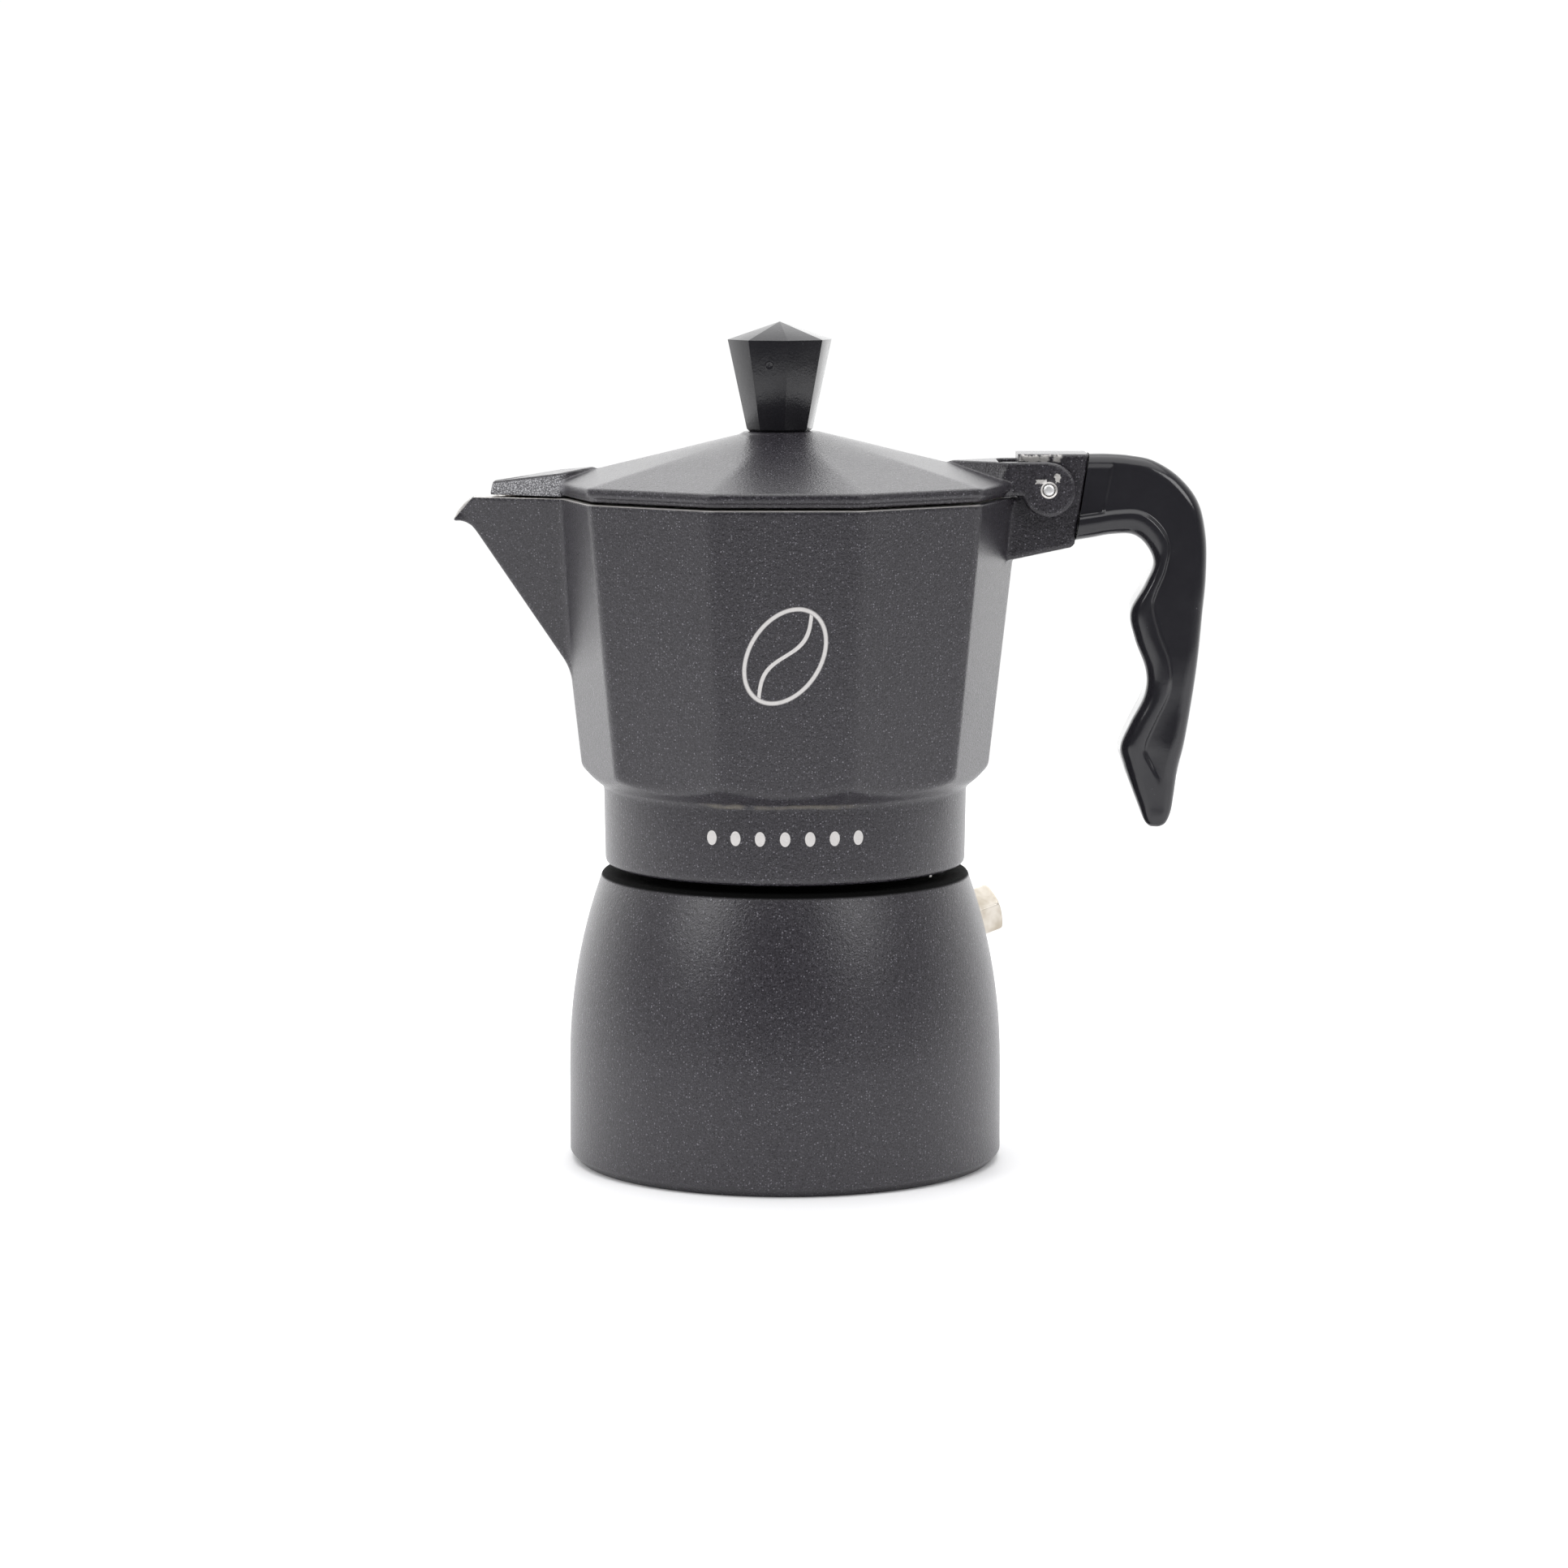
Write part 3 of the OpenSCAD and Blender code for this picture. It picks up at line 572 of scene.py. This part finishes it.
def valve_body():
    g = Grid((-5.6, -5.6, -6), (5.6, 5.6, 7.4), 0.13)
    r = np.hypot(g.x, g.y)
    hexagon = prism_distance(g.x, g.y, 6, 0.15, VALVE_TURN) - VALVE_FLATS / 2
    cone = (r - VALVE_FLATS / math.sqrt(3) * 0.87 - (VALVE_OUT - g.z) * 1.2) * 0.64
    head = smax(smax(hexagon, cone, 0.25), g.z - VALVE_OUT, 0.3)
    head = smax(head, 0.25 - g.z, 0.1)
    shank = np.maximum(r - SHANK_R, np.maximum(-5 - g.z, g.z - 1))
    solid = np.minimum(head, shank)
    lip = 0.35 * ramp((g.z - VALVE_OUT + 0.35) / 0.35)
    bore = np.maximum(r - VALVE_BORE_R - lip, -2.5 - g.z)
    bore = np.minimum(bore, r - VALVE_HOLE_R)
    piece = solid_of("valve_hexagon", g, smax(solid, -bore, 0.1), 0.5)
    piece.data.transform(VALVE_PLACE)
    return smooth(piece, 40)


def valve_spring():
    """A round-wire coil with closed ends, along the valve's axis."""
    wire, coil_r, coils = 0.27, 1.45, 5.5
    low, high = SPRING_LOW + 0.3, SPRING_TOP - 0.3
    n, around = 180, 10
    points, faces = [], []
    for i in range(n + 1):
        t = i / n
        a = 2 * math.pi * coils * t
        rise = 0.11 * math.sin(2 * math.pi * t)
        z = low + (high - low) * (t - rise)
        out = Vector((math.cos(a), math.sin(a), 0))
        for k in range(around):
            b = 2 * math.pi * k / around
            p = out * (coil_r + wire * math.cos(b)) + Vector((0, 0, z + wire * math.sin(b)))
            points.append(tuple(p))
        if i:
            s = (i - 1) * around
            faces += [(s + k, s + (k + 1) % around, s + around + (k + 1) % around, s + around + k)
                      for k in range(around)]
    faces += [tuple(range(around)), tuple(range(n * around, (n + 1) * around))]
    piece = mesh_of("valve_coil", points, faces)
    piece.data.transform(VALVE_PLACE)
    return smooth(piece, 60)


def hinge_pin():
    end = EARS_W / 2 - 0.1
    half = [(0, end), (PIN_R * 0.5, end - 0.03), (PIN_R * 0.8, end - 0.12),
            (PIN_R - 0.04, end - 0.35), (PIN_R, end - 0.7)]
    piece = lathe("hinge_pin_steel", half + [(r, -z) for r, z in half[::-1]], 48, closed=False)
    piece.data.transform(Matrix.Rotation(math.pi / 2, 4, "X"))
    piece.data.transform(Matrix.Translation((HINGE_X * MM, 0, HINGE_Z * MM)))
    return smooth(piece, 40)


# ---------------------------------------------------------------- materials
class Shader:
    """Builds a material's nodes. Every call returns a socket."""

    def __init__(self, name):
        self.material = bpy.data.materials.new(name)
        self.material.use_nodes = True
        self.tree = self.material.node_tree
        self.tree.nodes.clear()
        self.place = self.add("ShaderNodeTexCoord").outputs["Object"]
        apart = self.add("ShaderNodeSeparateXYZ")
        self.link(self.place, apart.inputs[0])
        self.x, self.y, self.z = apart.outputs

    def add(self, kind):
        return self.tree.nodes.new(kind)

    def link(self, value, socket):
        if isinstance(value, bpy.types.NodeSocket):
            self.tree.links.new(value, socket)
        else:
            socket.default_value = value

    def math(self, operation, a, b=0.0, clamp=False):
        node = self.add("ShaderNodeMath")
        node.operation, node.use_clamp = operation, clamp
        self.link(a, node.inputs[0])
        self.link(b, node.inputs[1])
        return node.outputs[0]

    def steps(self, value, low, high):
        """0 below low, 1 above high, smooth between them."""
        node = self.add("ShaderNodeMapRange")
        node.interpolation_type = "SMOOTHSTEP"
        self.link(value, node.inputs["Value"])
        node.inputs["From Min"].default_value, node.inputs["From Max"].default_value = low, high
        return node.outputs["Result"]

    def below(self, value, low, high):
        """1 below low, 0 above high, smooth between them."""
        return self.math("SUBTRACT", 1.0, self.steps(value, low, high))

    def minus(self, value):
        return self.math("MULTIPLY", value, -1.0)

    def length(self, u, v):
        return self.math("SQRT", self.math("ADD", self.math("POWER", u, 2.0),
                                           self.math("POWER", v, 2.0)))

    def near(self, value, centre, half, soft):
        """1 within half of centre, 0 beyond, with a soft edge."""
        off = self.math("ABSOLUTE", self.math("SUBTRACT", value, centre))
        return self.below(off, half - soft, half + soft)

    def every(self, *masks):
        out = masks[0]
        for mask in masks[1:]:
            out = self.math("MULTIPLY", out, mask)
        return out

    def any(self, *masks):
        out = masks[0]
        for mask in masks[1:]:
            out = self.math("MAXIMUM", out, mask)
        return out

    def noise(self, size, detail=2.0, roughness=0.5, stretch=None):
        """Noise whose features are about size millimetres."""
        node = self.add("ShaderNodeTexNoise")
        node.inputs["Scale"].default_value = 1 / (size * MM)
        node.inputs["Detail"].default_value = detail
        node.inputs["Roughness"].default_value = roughness
        source = self.place
        if stretch:
            scale = self.add("ShaderNodeMapping")
            scale.inputs["Scale"].default_value = stretch
            self.link(self.place, scale.inputs["Vector"])
            source = scale.outputs[0]
        self.link(source, node.inputs["Vector"])
        return node.outputs["Fac"]

    def dots(self, spacing, radius, share):
        """Round specks, about spacing millimetres apart, in a share of the places for them."""
        node = self.add("ShaderNodeTexVoronoi")
        node.inputs["Scale"].default_value = 1 / (spacing * MM)
        self.link(self.place, node.inputs["Vector"])
        size = radius / spacing
        spot = self.below(node.outputs["Distance"], 0.6 * size, 1.4 * size)
        chance = self.add("ShaderNodeSeparateColor")
        self.link(node.outputs["Color"], chance.inputs[0])
        return self.every(spot, self.steps(chance.outputs[0], 1 - share, 1.15))

    def mix(self, share, a, b):
        node = self.add("ShaderNodeMix")
        node.data_type = "RGBA"
        self.link(share, node.inputs["Factor"])
        self.link((*a, 1) if isinstance(a, tuple) else a, node.inputs["A"])
        self.link((*b, 1) if isinstance(b, tuple) else b, node.inputs["B"])
        return node.outputs["Result"]

    def blend(self, share, a, b):
        node = self.add("ShaderNodeMix")
        for value, socket in ((share, "Factor"), (a, "A"), (b, "B")):
            self.link(value, node.inputs[socket])
        return node.outputs["Result"]

    def bump(self, height, depth, after=None):
        """Height times depth millimetres."""
        node = self.add("ShaderNodeBump")
        node.inputs["Strength"].default_value = 1.0
        node.inputs["Distance"].default_value = depth * MM
        self.link(height, node.inputs["Height"])
        if after is not None:
            self.link(after, node.inputs["Normal"])
        return node.outputs[0]

    def finish(self, color, roughness, metallic=0.0, normal=None, **sockets):
        node = self.add("ShaderNodeBsdfPrincipled")
        self.link((*color, 1) if isinstance(color, tuple) else color, node.inputs["Base Color"])
        self.link(roughness, node.inputs["Roughness"])
        self.link(metallic, node.inputs["Metallic"])
        if normal is not None:
            self.link(normal, node.inputs["Normal"])
        for name, value in sockets.items():
            node.inputs[name.replace("_", " ")].default_value = value
        out = self.add("ShaderNodeOutputMaterial")
        self.tree.links.new(node.outputs[0], out.inputs[0])
        return self.material


COAT_DARK, COAT_MID = (0.012, 0.0108, 0.0138), (0.0345, 0.0318, 0.0385)
COAT_LIGHT = (0.34, 0.33, 0.37)
BARE = (0.66, 0.64, 0.62)
# near black, for the painted shade in the ledge crevice
CREVICE_SHADE_BLACK = (0.006, 0.006, 0.006)


def coated(name, bare=None, worn=None, mark=None, coarse_and_glinting=None, crevice_shade=None, tone=None):
    """Sandy charcoal coating on cast aluminium. The arguments say where metal, a worn line, a
    printed mark, a coarser grain with painted sheen and glints, painted shade in a crevice or a
    lighter tone shows; each is given the shader and returns a mask."""
    s = Shader(name)
    cloud = s.noise(9, 2)
    grit = s.noise(0.30, 3, 0.65)
    peel = s.noise(0.55, 2, 0.5)
    flecks = s.any(s.dots(0.50, 0.12, 0.6), s.math("MULTIPLY", s.dots(0.27, 0.09, 0.5), 0.5))
    color = s.mix(s.steps(grit, 0.40, 0.60), COAT_DARK, COAT_MID)
    color = s.mix(s.math("MULTIPLY", cloud, 0.2), color, COAT_MID)
    if tone:
        color = s.mix(tone(s), color, COAT_MID)
    color = s.mix(s.math("MULTIPLY", flecks, 0.62), color, COAT_LIGHT)
    rough = s.math("ADD", 0.23, s.math("MULTIPLY", grit, 0.12))
    height = peel
    if coarse_and_glinting:
        rugged_and_sheen = coarse_and_glinting(s)
        painted_glint = s.steps(s.noise(0.25, 2, 0.7), 0.42, 0.70)
        # painted sheen and glints: the flanks are coloured lighter and dotted with bright specks
        color = s.mix(s.math("MULTIPLY", rugged_and_sheen, 0.35), color, (0.14, 0.14, 0.15))
        color = s.mix(s.every(rugged_and_sheen, painted_glint), color, (0.50, 0.50, 0.52))
        height = s.math("MULTIPLY", peel, s.math("ADD", s.math("MULTIPLY", rugged_and_sheen, 3.0), 1.0))
    normal = s.bump(height, 0.065)
    normal = s.bump(grit, 0.055, normal)
    metal = 0.0
    if crevice_shade:
        # painted shade: the crevice is coloured near black and made rough
        black = crevice_shade(s)
        color = s.mix(black, color, CREVICE_SHADE_BLACK)
        rough = s.blend(black, rough, 0.9)
        metal = s.math("MULTIPLY", black, 0.95)
    if mark:
        ink = mark(s)
        color = s.mix(ink, color, (0.62, 0.60, 0.59))
    if worn:
        rubbed = worn(s)
        color = s.mix(rubbed, color, (0.17, 0.15, 0.115))
    if bare:
        shown = bare(s)
        color = s.mix(shown, color, BARE)
        rough = s.blend(shown, rough, 0.35)
        metal = s.math("MAXIMUM", metal, s.math("MULTIPLY", shown, 0.6))
    return s.finish(color, rough, metal, normal)


def ledge_painted_shade(s):
    """Painted shade in the crevice between the boiler's ledge and the skirt above it."""
    inner = s.below(s.length(s.x, s.y), 0.0350, 0.0366)
    return s.every(inner, s.near(s.z, 0.0560, 0.0016, 0.0003))


def barrel_tone(s):
    """The barrel, up to where the shoulder begins, is coloured a little lighter."""
    return s.math("MULTIPLY", s.below(s.z, 0.0243, 0.0247), 0.16)


def collector_bare(s):
    """The machined rim, the filed strip on the hinge block above the ears, and the spout's lip."""
    rim = s.every(s.steps(s.minus(s.x), -0.036, -0.035),
                  s.steps(s.z, (RIM_Z - 0.24) * MM, (RIM_Z - 0.14) * MM),
                  s.below(s.z, (RIM_Z + 0.2) * MM, (RIM_Z + 0.3) * MM))
    rough_edge = s.math("MULTIPLY", s.math("SUBTRACT", s.noise(1.2, 3), 0.5), 0.0016)
    height = s.math("ADD", s.z, rough_edge)
    along = s.math("ADD", s.x, rough_edge)
    strip = s.every(s.near(height, (HINGE_Z + 5.85) * MM, 0.00055, 0.0001),
                    s.near(along, (HINGE_X - 1.6) * MM, 0.0040, 0.0003),
                    s.steps(s.math("ABSOLUTE", s.y), 0.0050, 0.0053))
    strip = s.every(strip, s.steps(s.noise(1.3, 3), 0.36, 0.56))
    across = s.math("ADD", s.math("MULTIPLY", s.math("ADD", s.x, 0.0587), -0.757),
                    s.math("MULTIPLY", s.math("SUBTRACT", s.z, 0.1257), 0.654))
    lip = s.every(s.steps(across, -0.0001, 0.0002), s.steps(s.minus(s.x), 0.058, 0.059))
    return s.any(rim, s.math("MULTIPLY", strip, 0.7), s.math("MULTIPLY", lip, 0.8))


def collector_worn(s):
    """A faint rubbed line in the corner between the facets and the waist, at the front."""
    edge = s.math("MULTIPLY", s.math("SUBTRACT", s.noise(5, 2), 0.5), 0.001)
    line = s.near(s.math("ADD", s.z, edge), 0.0713, 0.00035, 0.00025)
    front = s.every(s.steps(s.minus(s.y), 0.030, 0.033), s.near(s.x, 0.0, 0.016, 0.006))
    left = s.math("ADD", 0.45, s.math("MULTIPLY", s.near(s.x, -0.010, 0.005, 0.002), 0.45))
    return s.every(line, front, left, s.steps(s.noise(4, 2), 0.3, 0.6))


def collector_mark(s):
    """A plain coffee bean on the front facet, and a row of small beans on the waist."""
    front = s.steps(s.minus(s.y), 0.030, 0.031)
    c, n = math.cos(math.radians(32)), math.sin(math.radians(32))
    dx, dz = s.x, s.math("SUBTRACT", s.z, 0.0995)
    across = s.math("ADD", s.math("MULTIPLY", dx, c), s.math("MULTIPLY", dz, -n))
    along = s.math("ADD", s.math("MULTIPLY", dx, n), s.math("MULTIPLY", dz, c))
    inner = ellipse(s, across, along, 0.0061, 0.0090)
    ring = s.every(ellipse(s, across, along, 0.0068, 0.0097), s.math("SUBTRACT", 1.0, inner))
    wave = s.math("MULTIPLY", s.math("SINE", s.math("MULTIPLY", along, 350.0)), 0.0014)
    crease = s.every(inner, s.near(across, wave, 0.00036, 0.00008))
    pitch = 0.0046
    around = s.math("MULTIPLY", s.math("ARCTAN2", s.x, s.minus(s.y)), 0.0342)
    folded = s.math("PINGPONG", s.math("ADD", around, pitch / 2), pitch)
    local = s.math("SUBTRACT", folded, pitch / 2)
    small = s.every(ellipse(s, local, s.math("SUBTRACT", s.z, 0.0654), 0.00095, 0.00135),
                    s.near(around, 0.0, 3.5 * pitch, 0.0001))
    return s.every(front, s.any(ring, crease, small))


def ellipse(s, u, v, half_u, half_v):
    """1 inside an ellipse, 0 outside it."""
    uu = s.math("POWER", s.math("DIVIDE", u, half_u), 2.0)
    vv = s.math("POWER", s.math("DIVIDE", v, half_v), 2.0)
    return s.below(s.math("ADD", uu, vv), 0.96, 1.04)


def lid_bare(s):
    """The ring that reaming left round the pin, and two small knocks beside it."""
    dx = s.math("SUBTRACT", s.x, HINGE_X * MM)
    dz = s.math("SUBTRACT", s.z, HINGE_Z * MM)
    face = s.steps(s.math("ABSOLUTE", s.y), 0.0077, 0.0078)
    ring = s.below(s.length(dx, dz), 0.00150, 0.00162)
    uneven = s.math("MULTIPLY", s.math("SUBTRACT", s.noise(0.9, 2), 0.5), 0.0012)
    dxn, dzn = s.math("ADD", dx, uneven), s.math("ADD", dz, uneven)
    left = s.every(s.near(dxn, -0.0015, 0.0010, 0.0001), s.near(dzn, 0.0016, 0.00035, 0.0001))
    right = s.every(s.near(dxn, 0.0016, 0.00045, 0.0001), s.near(dzn, 0.0022, 0.0008, 0.0001))
    front = s.steps(s.minus(s.y), 0.0077, 0.0078)
    return s.every(face, s.any(ring, s.every(front, s.any(left, right))))


def beak_flank(s):
    """The sides of the beak, as rough as they left the sand, with painted sheen and glints."""
    at_axis = (BEAK_TOP_Z + BEAK_TIP_X * BEAK_SLOPE - 0.25) * MM
    top = s.math("ADD", s.math("MULTIPLY", s.x, BEAK_SLOPE), at_axis)
    flank = s.steps(s.math("SUBTRACT", top, s.z), 0.0, 0.0003)
    return s.every(flank, s.steps(s.minus(s.x), 0.0405, 0.0420))


def cast_inside(name, shade_under_beak=False):
    """Bare cast aluminium, as inside the pot, with painted shade under the beak if asked."""
    s = Shader(name)
    grain = s.noise(0.6, 4, 0.6)
    stain = s.noise(8, 3)
    color = s.mix(s.steps(stain, 0.3, 0.7), (0.50, 0.49, 0.47), (0.62, 0.61, 0.60))
    rough = s.math("ADD", 0.34, s.math("MULTIPLY", grain, 0.18))
    if shade_under_beak:
        # painted shade: the wall under the beak is coloured dark brown-black
        beak_shade = s.every(s.near(s.x, -0.0440, 0.0105, 0.0012), s.steps(s.z, 0.1170, 0.1235),
                         s.steps(s.noise(2.5, 3), 0.30, 0.42))
        color = s.mix(s.math("MULTIPLY", beak_shade, 0.92), color, (0.045, 0.030, 0.020))
    return s.finish(color, rough, 1.0, s.bump(grain, 0.02))


def pressed_sheet(name):
    s = Shader(name)
    lines = s.noise(0.5, 3, 0.6, (1, 1, 6))
    color = s.mix(lines, (0.60, 0.60, 0.61), (0.72, 0.72, 0.73))
    rough = s.math("ADD", 0.24, s.math("MULTIPLY", lines, 0.14))
    return s.finish(color, rough, 1.0, s.bump(lines, 0.006))


def turned_metal(name, dark, light, roughness, size=0.35):
    s = Shader(name)
    grain = s.noise(size, 3, 0.6)
    cloud = s.noise(3, 2)
    color = s.mix(s.steps(cloud, 0.3, 0.7), dark, light)
    rough = s.math("ADD", roughness, s.math("MULTIPLY", grain, 0.12))
    return s.finish(color, rough, 1.0, s.bump(grain, 0.004))


def rubber(name, dark, light):
    s = Shader(name)
    grain = s.noise(0.5, 3, 0.6)
    color = s.mix(s.steps(s.noise(4, 2), 0.3, 0.7), dark, light)
    return s.finish(color, s.math("ADD", 0.5, s.math("MULTIPLY", grain, 0.2)), 0.0,
                    s.bump(grain, 0.01))


def glossy_black(name, gate=False):
    """Polished black plastic with faint haze, dust and, on the knob, a gate mark."""
    s = Shader(name)
    haze = s.noise(6, 3)
    dust = s.every(s.steps(s.noise(0.45, 1, 0.3), 0.76, 0.80), s.steps(s.noise(5, 1), 0.5, 0.7))
    color = s.mix(s.math("MULTIPLY", dust, 0.35), (0.017, 0.0165, 0.020), (0.25, 0.25, 0.26))
    rough = s.math("ADD", 0.14, s.math("MULTIPLY", s.steps(haze, 0.35, 0.75), 0.07))
    rough = s.math("ADD", rough, s.math("MULTIPLY", dust, 0.3))
    normal = s.bump(s.noise(2.6, 3), 0.02)
    normal = s.bump(s.noise(0.42, 3, 0.6), 0.022 if gate else 0.008, normal)
    if gate:
        normal = s.bump(gate_height(s), 0.05, normal)
    return s.finish(color, rough, 0.0, normal)


def gate_height(s):
    """The small pit and rings that the mould's gate left on the knob."""
    off = s.length(s.math("SUBTRACT", s.x, -0.0029), s.math("SUBTRACT", s.z, 0.1506))
    front = s.steps(s.minus(s.y), 0.004, 0.005)
    pit = s.below(off, 0.0002, 0.0005)
    rings = s.any(s.near(off, 0.0007, 0.00010, 0.0001),
                  s.math("MULTIPLY", s.near(off, 0.0020, 0.00010, 0.0001), 0.12))
    height = s.math("ADD", s.minus(pit), s.math("MULTIPLY", rings, 0.45))
    return s.math("MULTIPLY", height, front)


# ---------------------------------------------------------------- putting it together
def dress(obj, *materials):
    obj.data.materials.clear()
    for material in materials:
        obj.data.materials.append(material)


def mark_inside(obj, test):
    """Gives the second material to the faces whose middle passes the test."""
    mesh = obj.data
    centres = np.zeros(len(mesh.polygons) * 3)
    mesh.polygons.foreach_get("center", centres)
    x, y, z = centres.reshape(-1, 3).T / MM
    mesh.polygons.foreach_set("material_index", test(x, y, z).astype(np.int32))
    mesh.update()


def inside_collector(x, y, z):
    middle = APOTHEM * BASE_R + FACET_LEAN * (z - CHAMFER_Z) - WALL / 2
    r = np.hypot(x, y)
    under_rim = np.where(x > 36, RIM_Z - 0.4, RIM_Z + 0.05)
    cup = (prism_distance(x, y, FACETS, 0.01) < middle) & (z > FLOOR_Z - 0.2) & (z < under_rim)
    half = spout_half(x, z)
    channel = (x < -36) & (half > 0.3) & (np.abs(y) < half + 0.35) & (z > 96)
    skirt = (r < SKIRT_BORE_R + 0.4) & (z < CHAMFER_Z) & (z > SKIRT_Z + 1.2)
    return cup | channel | skirt | (x > 58)


def inside_lid(x, y, z):
    middle = LID_STEP_Z + 1.6 + (LID_R - LID_RIM_W - np.hypot(x, y)) * LID_SLOPE
    reach = prism_distance(x, y, FACETS, 0.01)
    return (z < middle) & (reach < APOTHEM * (LID_R - 1.6))


def inside_boiler(x, y, z):
    r = np.hypot(x, y)
    wall = np.array([shoulder_r(min(max(v, SHOULDER_Z), LEDGE_Z)) for v in z])
    water = (r < wall - BOILER_WALL / 2) & (z > 1.5) & (z < LEDGE_Z - 1)
    return water | (r < NECK_R - 1) & (z > 1.5) | (z > THREAD_START + 0.4)


steel = turned_metal("zinc_plated_steel", (0.50, 0.50, 0.52), (0.66, 0.66, 0.68), 0.22)
pin_steel = turned_metal("worn_pin_steel", (0.78, 0.78, 0.78), (0.92, 0.92, 0.92), 0.42, 0.2)
brass = turned_metal("turned_brass", (0.58, 0.40, 0.16), (0.74, 0.55, 0.25), 0.24)
nickel = turned_metal("nickel_plate", (0.42, 0.37, 0.30), (0.60, 0.56, 0.50), 0.24, 0.25)
sheet_metal = pressed_sheet("pressed_aluminium")
seal_white = rubber("white_silicone", (0.66, 0.64, 0.58), (0.78, 0.76, 0.71))
seal_red = rubber("red_silicone", (0.22, 0.06, 0.04), (0.32, 0.10, 0.07))
inside_metal = cast_inside("bare_casting")
inside_painted_shade = cast_inside("bare_casting_painted_shade", True)
coat_boiler = coated("coating_boiler", crevice_shade=ledge_painted_shade, tone=barrel_tone)
coat_collector = coated("coating_collector", collector_bare, collector_worn, collector_mark)
coat_lid = coated("coating_lid", lid_bare, coarse_and_glinting=beak_flank)

PIECES = [
    (boiler, "base", "boiler", "coated_cast", (coat_boiler, inside_metal), inside_boiler),
    (collector, "top", "collector", "coated_cast", (coat_collector, inside_painted_shade),
     inside_collector),
    (lid, "cover", "lid", "coated_cast", (coat_lid, inside_metal), inside_lid),
    (knob, "cover", "knob", "black_plastic", (glossy_black("knob_plastic", True),), None),
    (handle, "top", "handle", "black_plastic", (glossy_black("handle_plastic"),), None),
    (valve_body, "base", "valve_body", "nickel_brass", (nickel,), None),
    (valve_spring, "base", "valve_spring", "spring_steel", (steel,), None),
    (hinge_pin, "top", "hinge_pin", "steel", (pin_steel,), None),
]
for make, body, node, slot, materials, second in PIECES:
    piece = make()
    dress(piece, *materials)
    if second:
        mark_inside(piece, second)
    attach(piece, body)
    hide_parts(node)
    if node == "valve_spring":
        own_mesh(piece)

for node, material in {
        "funnel": sheet_metal, "funnel_stem": sheet_metal, "funnel_disc": sheet_metal,
        "filter_plate": sheet_metal,
        "gasket": seal_white, "valve_washer": seal_red, "valve_seal": seal_red,
        "valve_poppet": brass, "valve_retainer": brass, "knob_insert": brass,
        "knob_screw": steel, "knob_washer": steel, "handle_screw": steel}.items():
    dress(frame["nodes"][node], material)
    smooth(frame["nodes"][node], 35)


# ---------------------------------------------------------------- stage, light and camera
TABLE_R = 600


def floor():
    """A pale table top, with painted shade darkening it towards the camera's side."""
    s = Shader("pale_floor")
    color = s.mix(s.noise(300, 2), (0.91, 0.91, 0.92), (0.93, 0.93, 0.94))
    # painted shade: the table's front is coloured darker, for less light falling there
    front = s.steps(s.minus(s.y), 0.23, 0.43)
    color = s.mix(s.math("MULTIPLY", front, 0.6), color, (0.40, 0.40, 0.41))
    material = s.finish(color, 0.6)
    table = lathe("floor", [(0, 0), (TABLE_R, 0), (TABLE_R, -4), (0, -4)], 96, closed=False)
    dress(table, material)


def area_light(name, place, aim, size, power):
    lamp = bpy.data.lights.new(name, "AREA")
    lamp.shape, lamp.size, lamp.size_y, lamp.energy = "RECTANGLE", size[0], size[1], power
    obj = bpy.data.objects.new(name, lamp)
    obj.location = place
    obj.rotation_euler = (Vector(aim) - Vector(place)).to_track_quat("-Z", "Y").to_euler()
    bpy.context.scene.collection.objects.link(obj)


def overhead_light(strength):
    """A broad, even light from straight above, which keeps the floor white."""
    lamp = bpy.data.lights.new("overhead", "SUN")
    lamp.energy, lamp.angle = strength, math.radians(75)
    obj = bpy.data.objects.new("overhead", lamp)
    obj.rotation_euler = (math.radians(9), 0, 0)
    bpy.context.scene.collection.objects.link(obj)


def world():
    """White all round, darker towards the side that the pot is seen from."""
    sky = bpy.data.worlds.new("studio")
    bpy.context.scene.world = sky
    sky.use_nodes = True
    tree = sky.node_tree
    tree.nodes.clear()
    place = tree.nodes.new("ShaderNodeTexCoord")
    apart = tree.nodes.new("ShaderNodeSeparateXYZ")
    level = tree.nodes.new("ShaderNodeMapRange")
    level.interpolation_type = "SMOOTHSTEP"
    tree.links.new(place.outputs["Generated"], apart.inputs[0])
    tree.links.new(apart.outputs["Y"], level.inputs["Value"])
    for name, value in (("From Min", -0.62), ("From Max", 1.1), ("To Min", 0.08), ("To Max", 1.9)):
        level.inputs[name].default_value = value
    seen = tree.nodes.new("ShaderNodeLightPath")
    share = tree.nodes.new("ShaderNodeMix")
    tree.links.new(seen.outputs["Is Camera Ray"], share.inputs["Factor"])
    tree.links.new(level.outputs["Result"], share.inputs["A"])
    share.inputs["B"].default_value = 1.02
    back = tree.nodes.new("ShaderNodeBackground")
    back.inputs["Color"].default_value = (1, 1, 1, 1)
    tree.links.new(share.outputs["Result"], back.inputs["Strength"])
    out = tree.nodes.new("ShaderNodeOutputWorld")
    tree.links.new(back.outputs[0], out.inputs[0])


def camera():
    lens = bpy.data.cameras.new("camera")
    lens.lens, lens.sensor_width = 109.55, 36
    obj = bpy.data.objects.new("camera", lens)
    obj.location = (-0.0002, -0.897, 0.185)
    obj.rotation_euler = (math.radians(90 - 7.223), 0, 0)
    bpy.context.scene.collection.objects.link(obj)
    bpy.context.scene.camera = obj


floor()
world()
camera()
area_light("key_left", (-0.97, -0.73, 0.75), (0, 0, 0.05), (0.55, 0.6), 6.5)
area_light("key_right", (0.87, -0.84, 0.75), (0, 0, 0.05), (0.55, 0.6), 5)
overhead_light(2.15)
bpy.context.scene.view_settings.view_transform = "Standard"
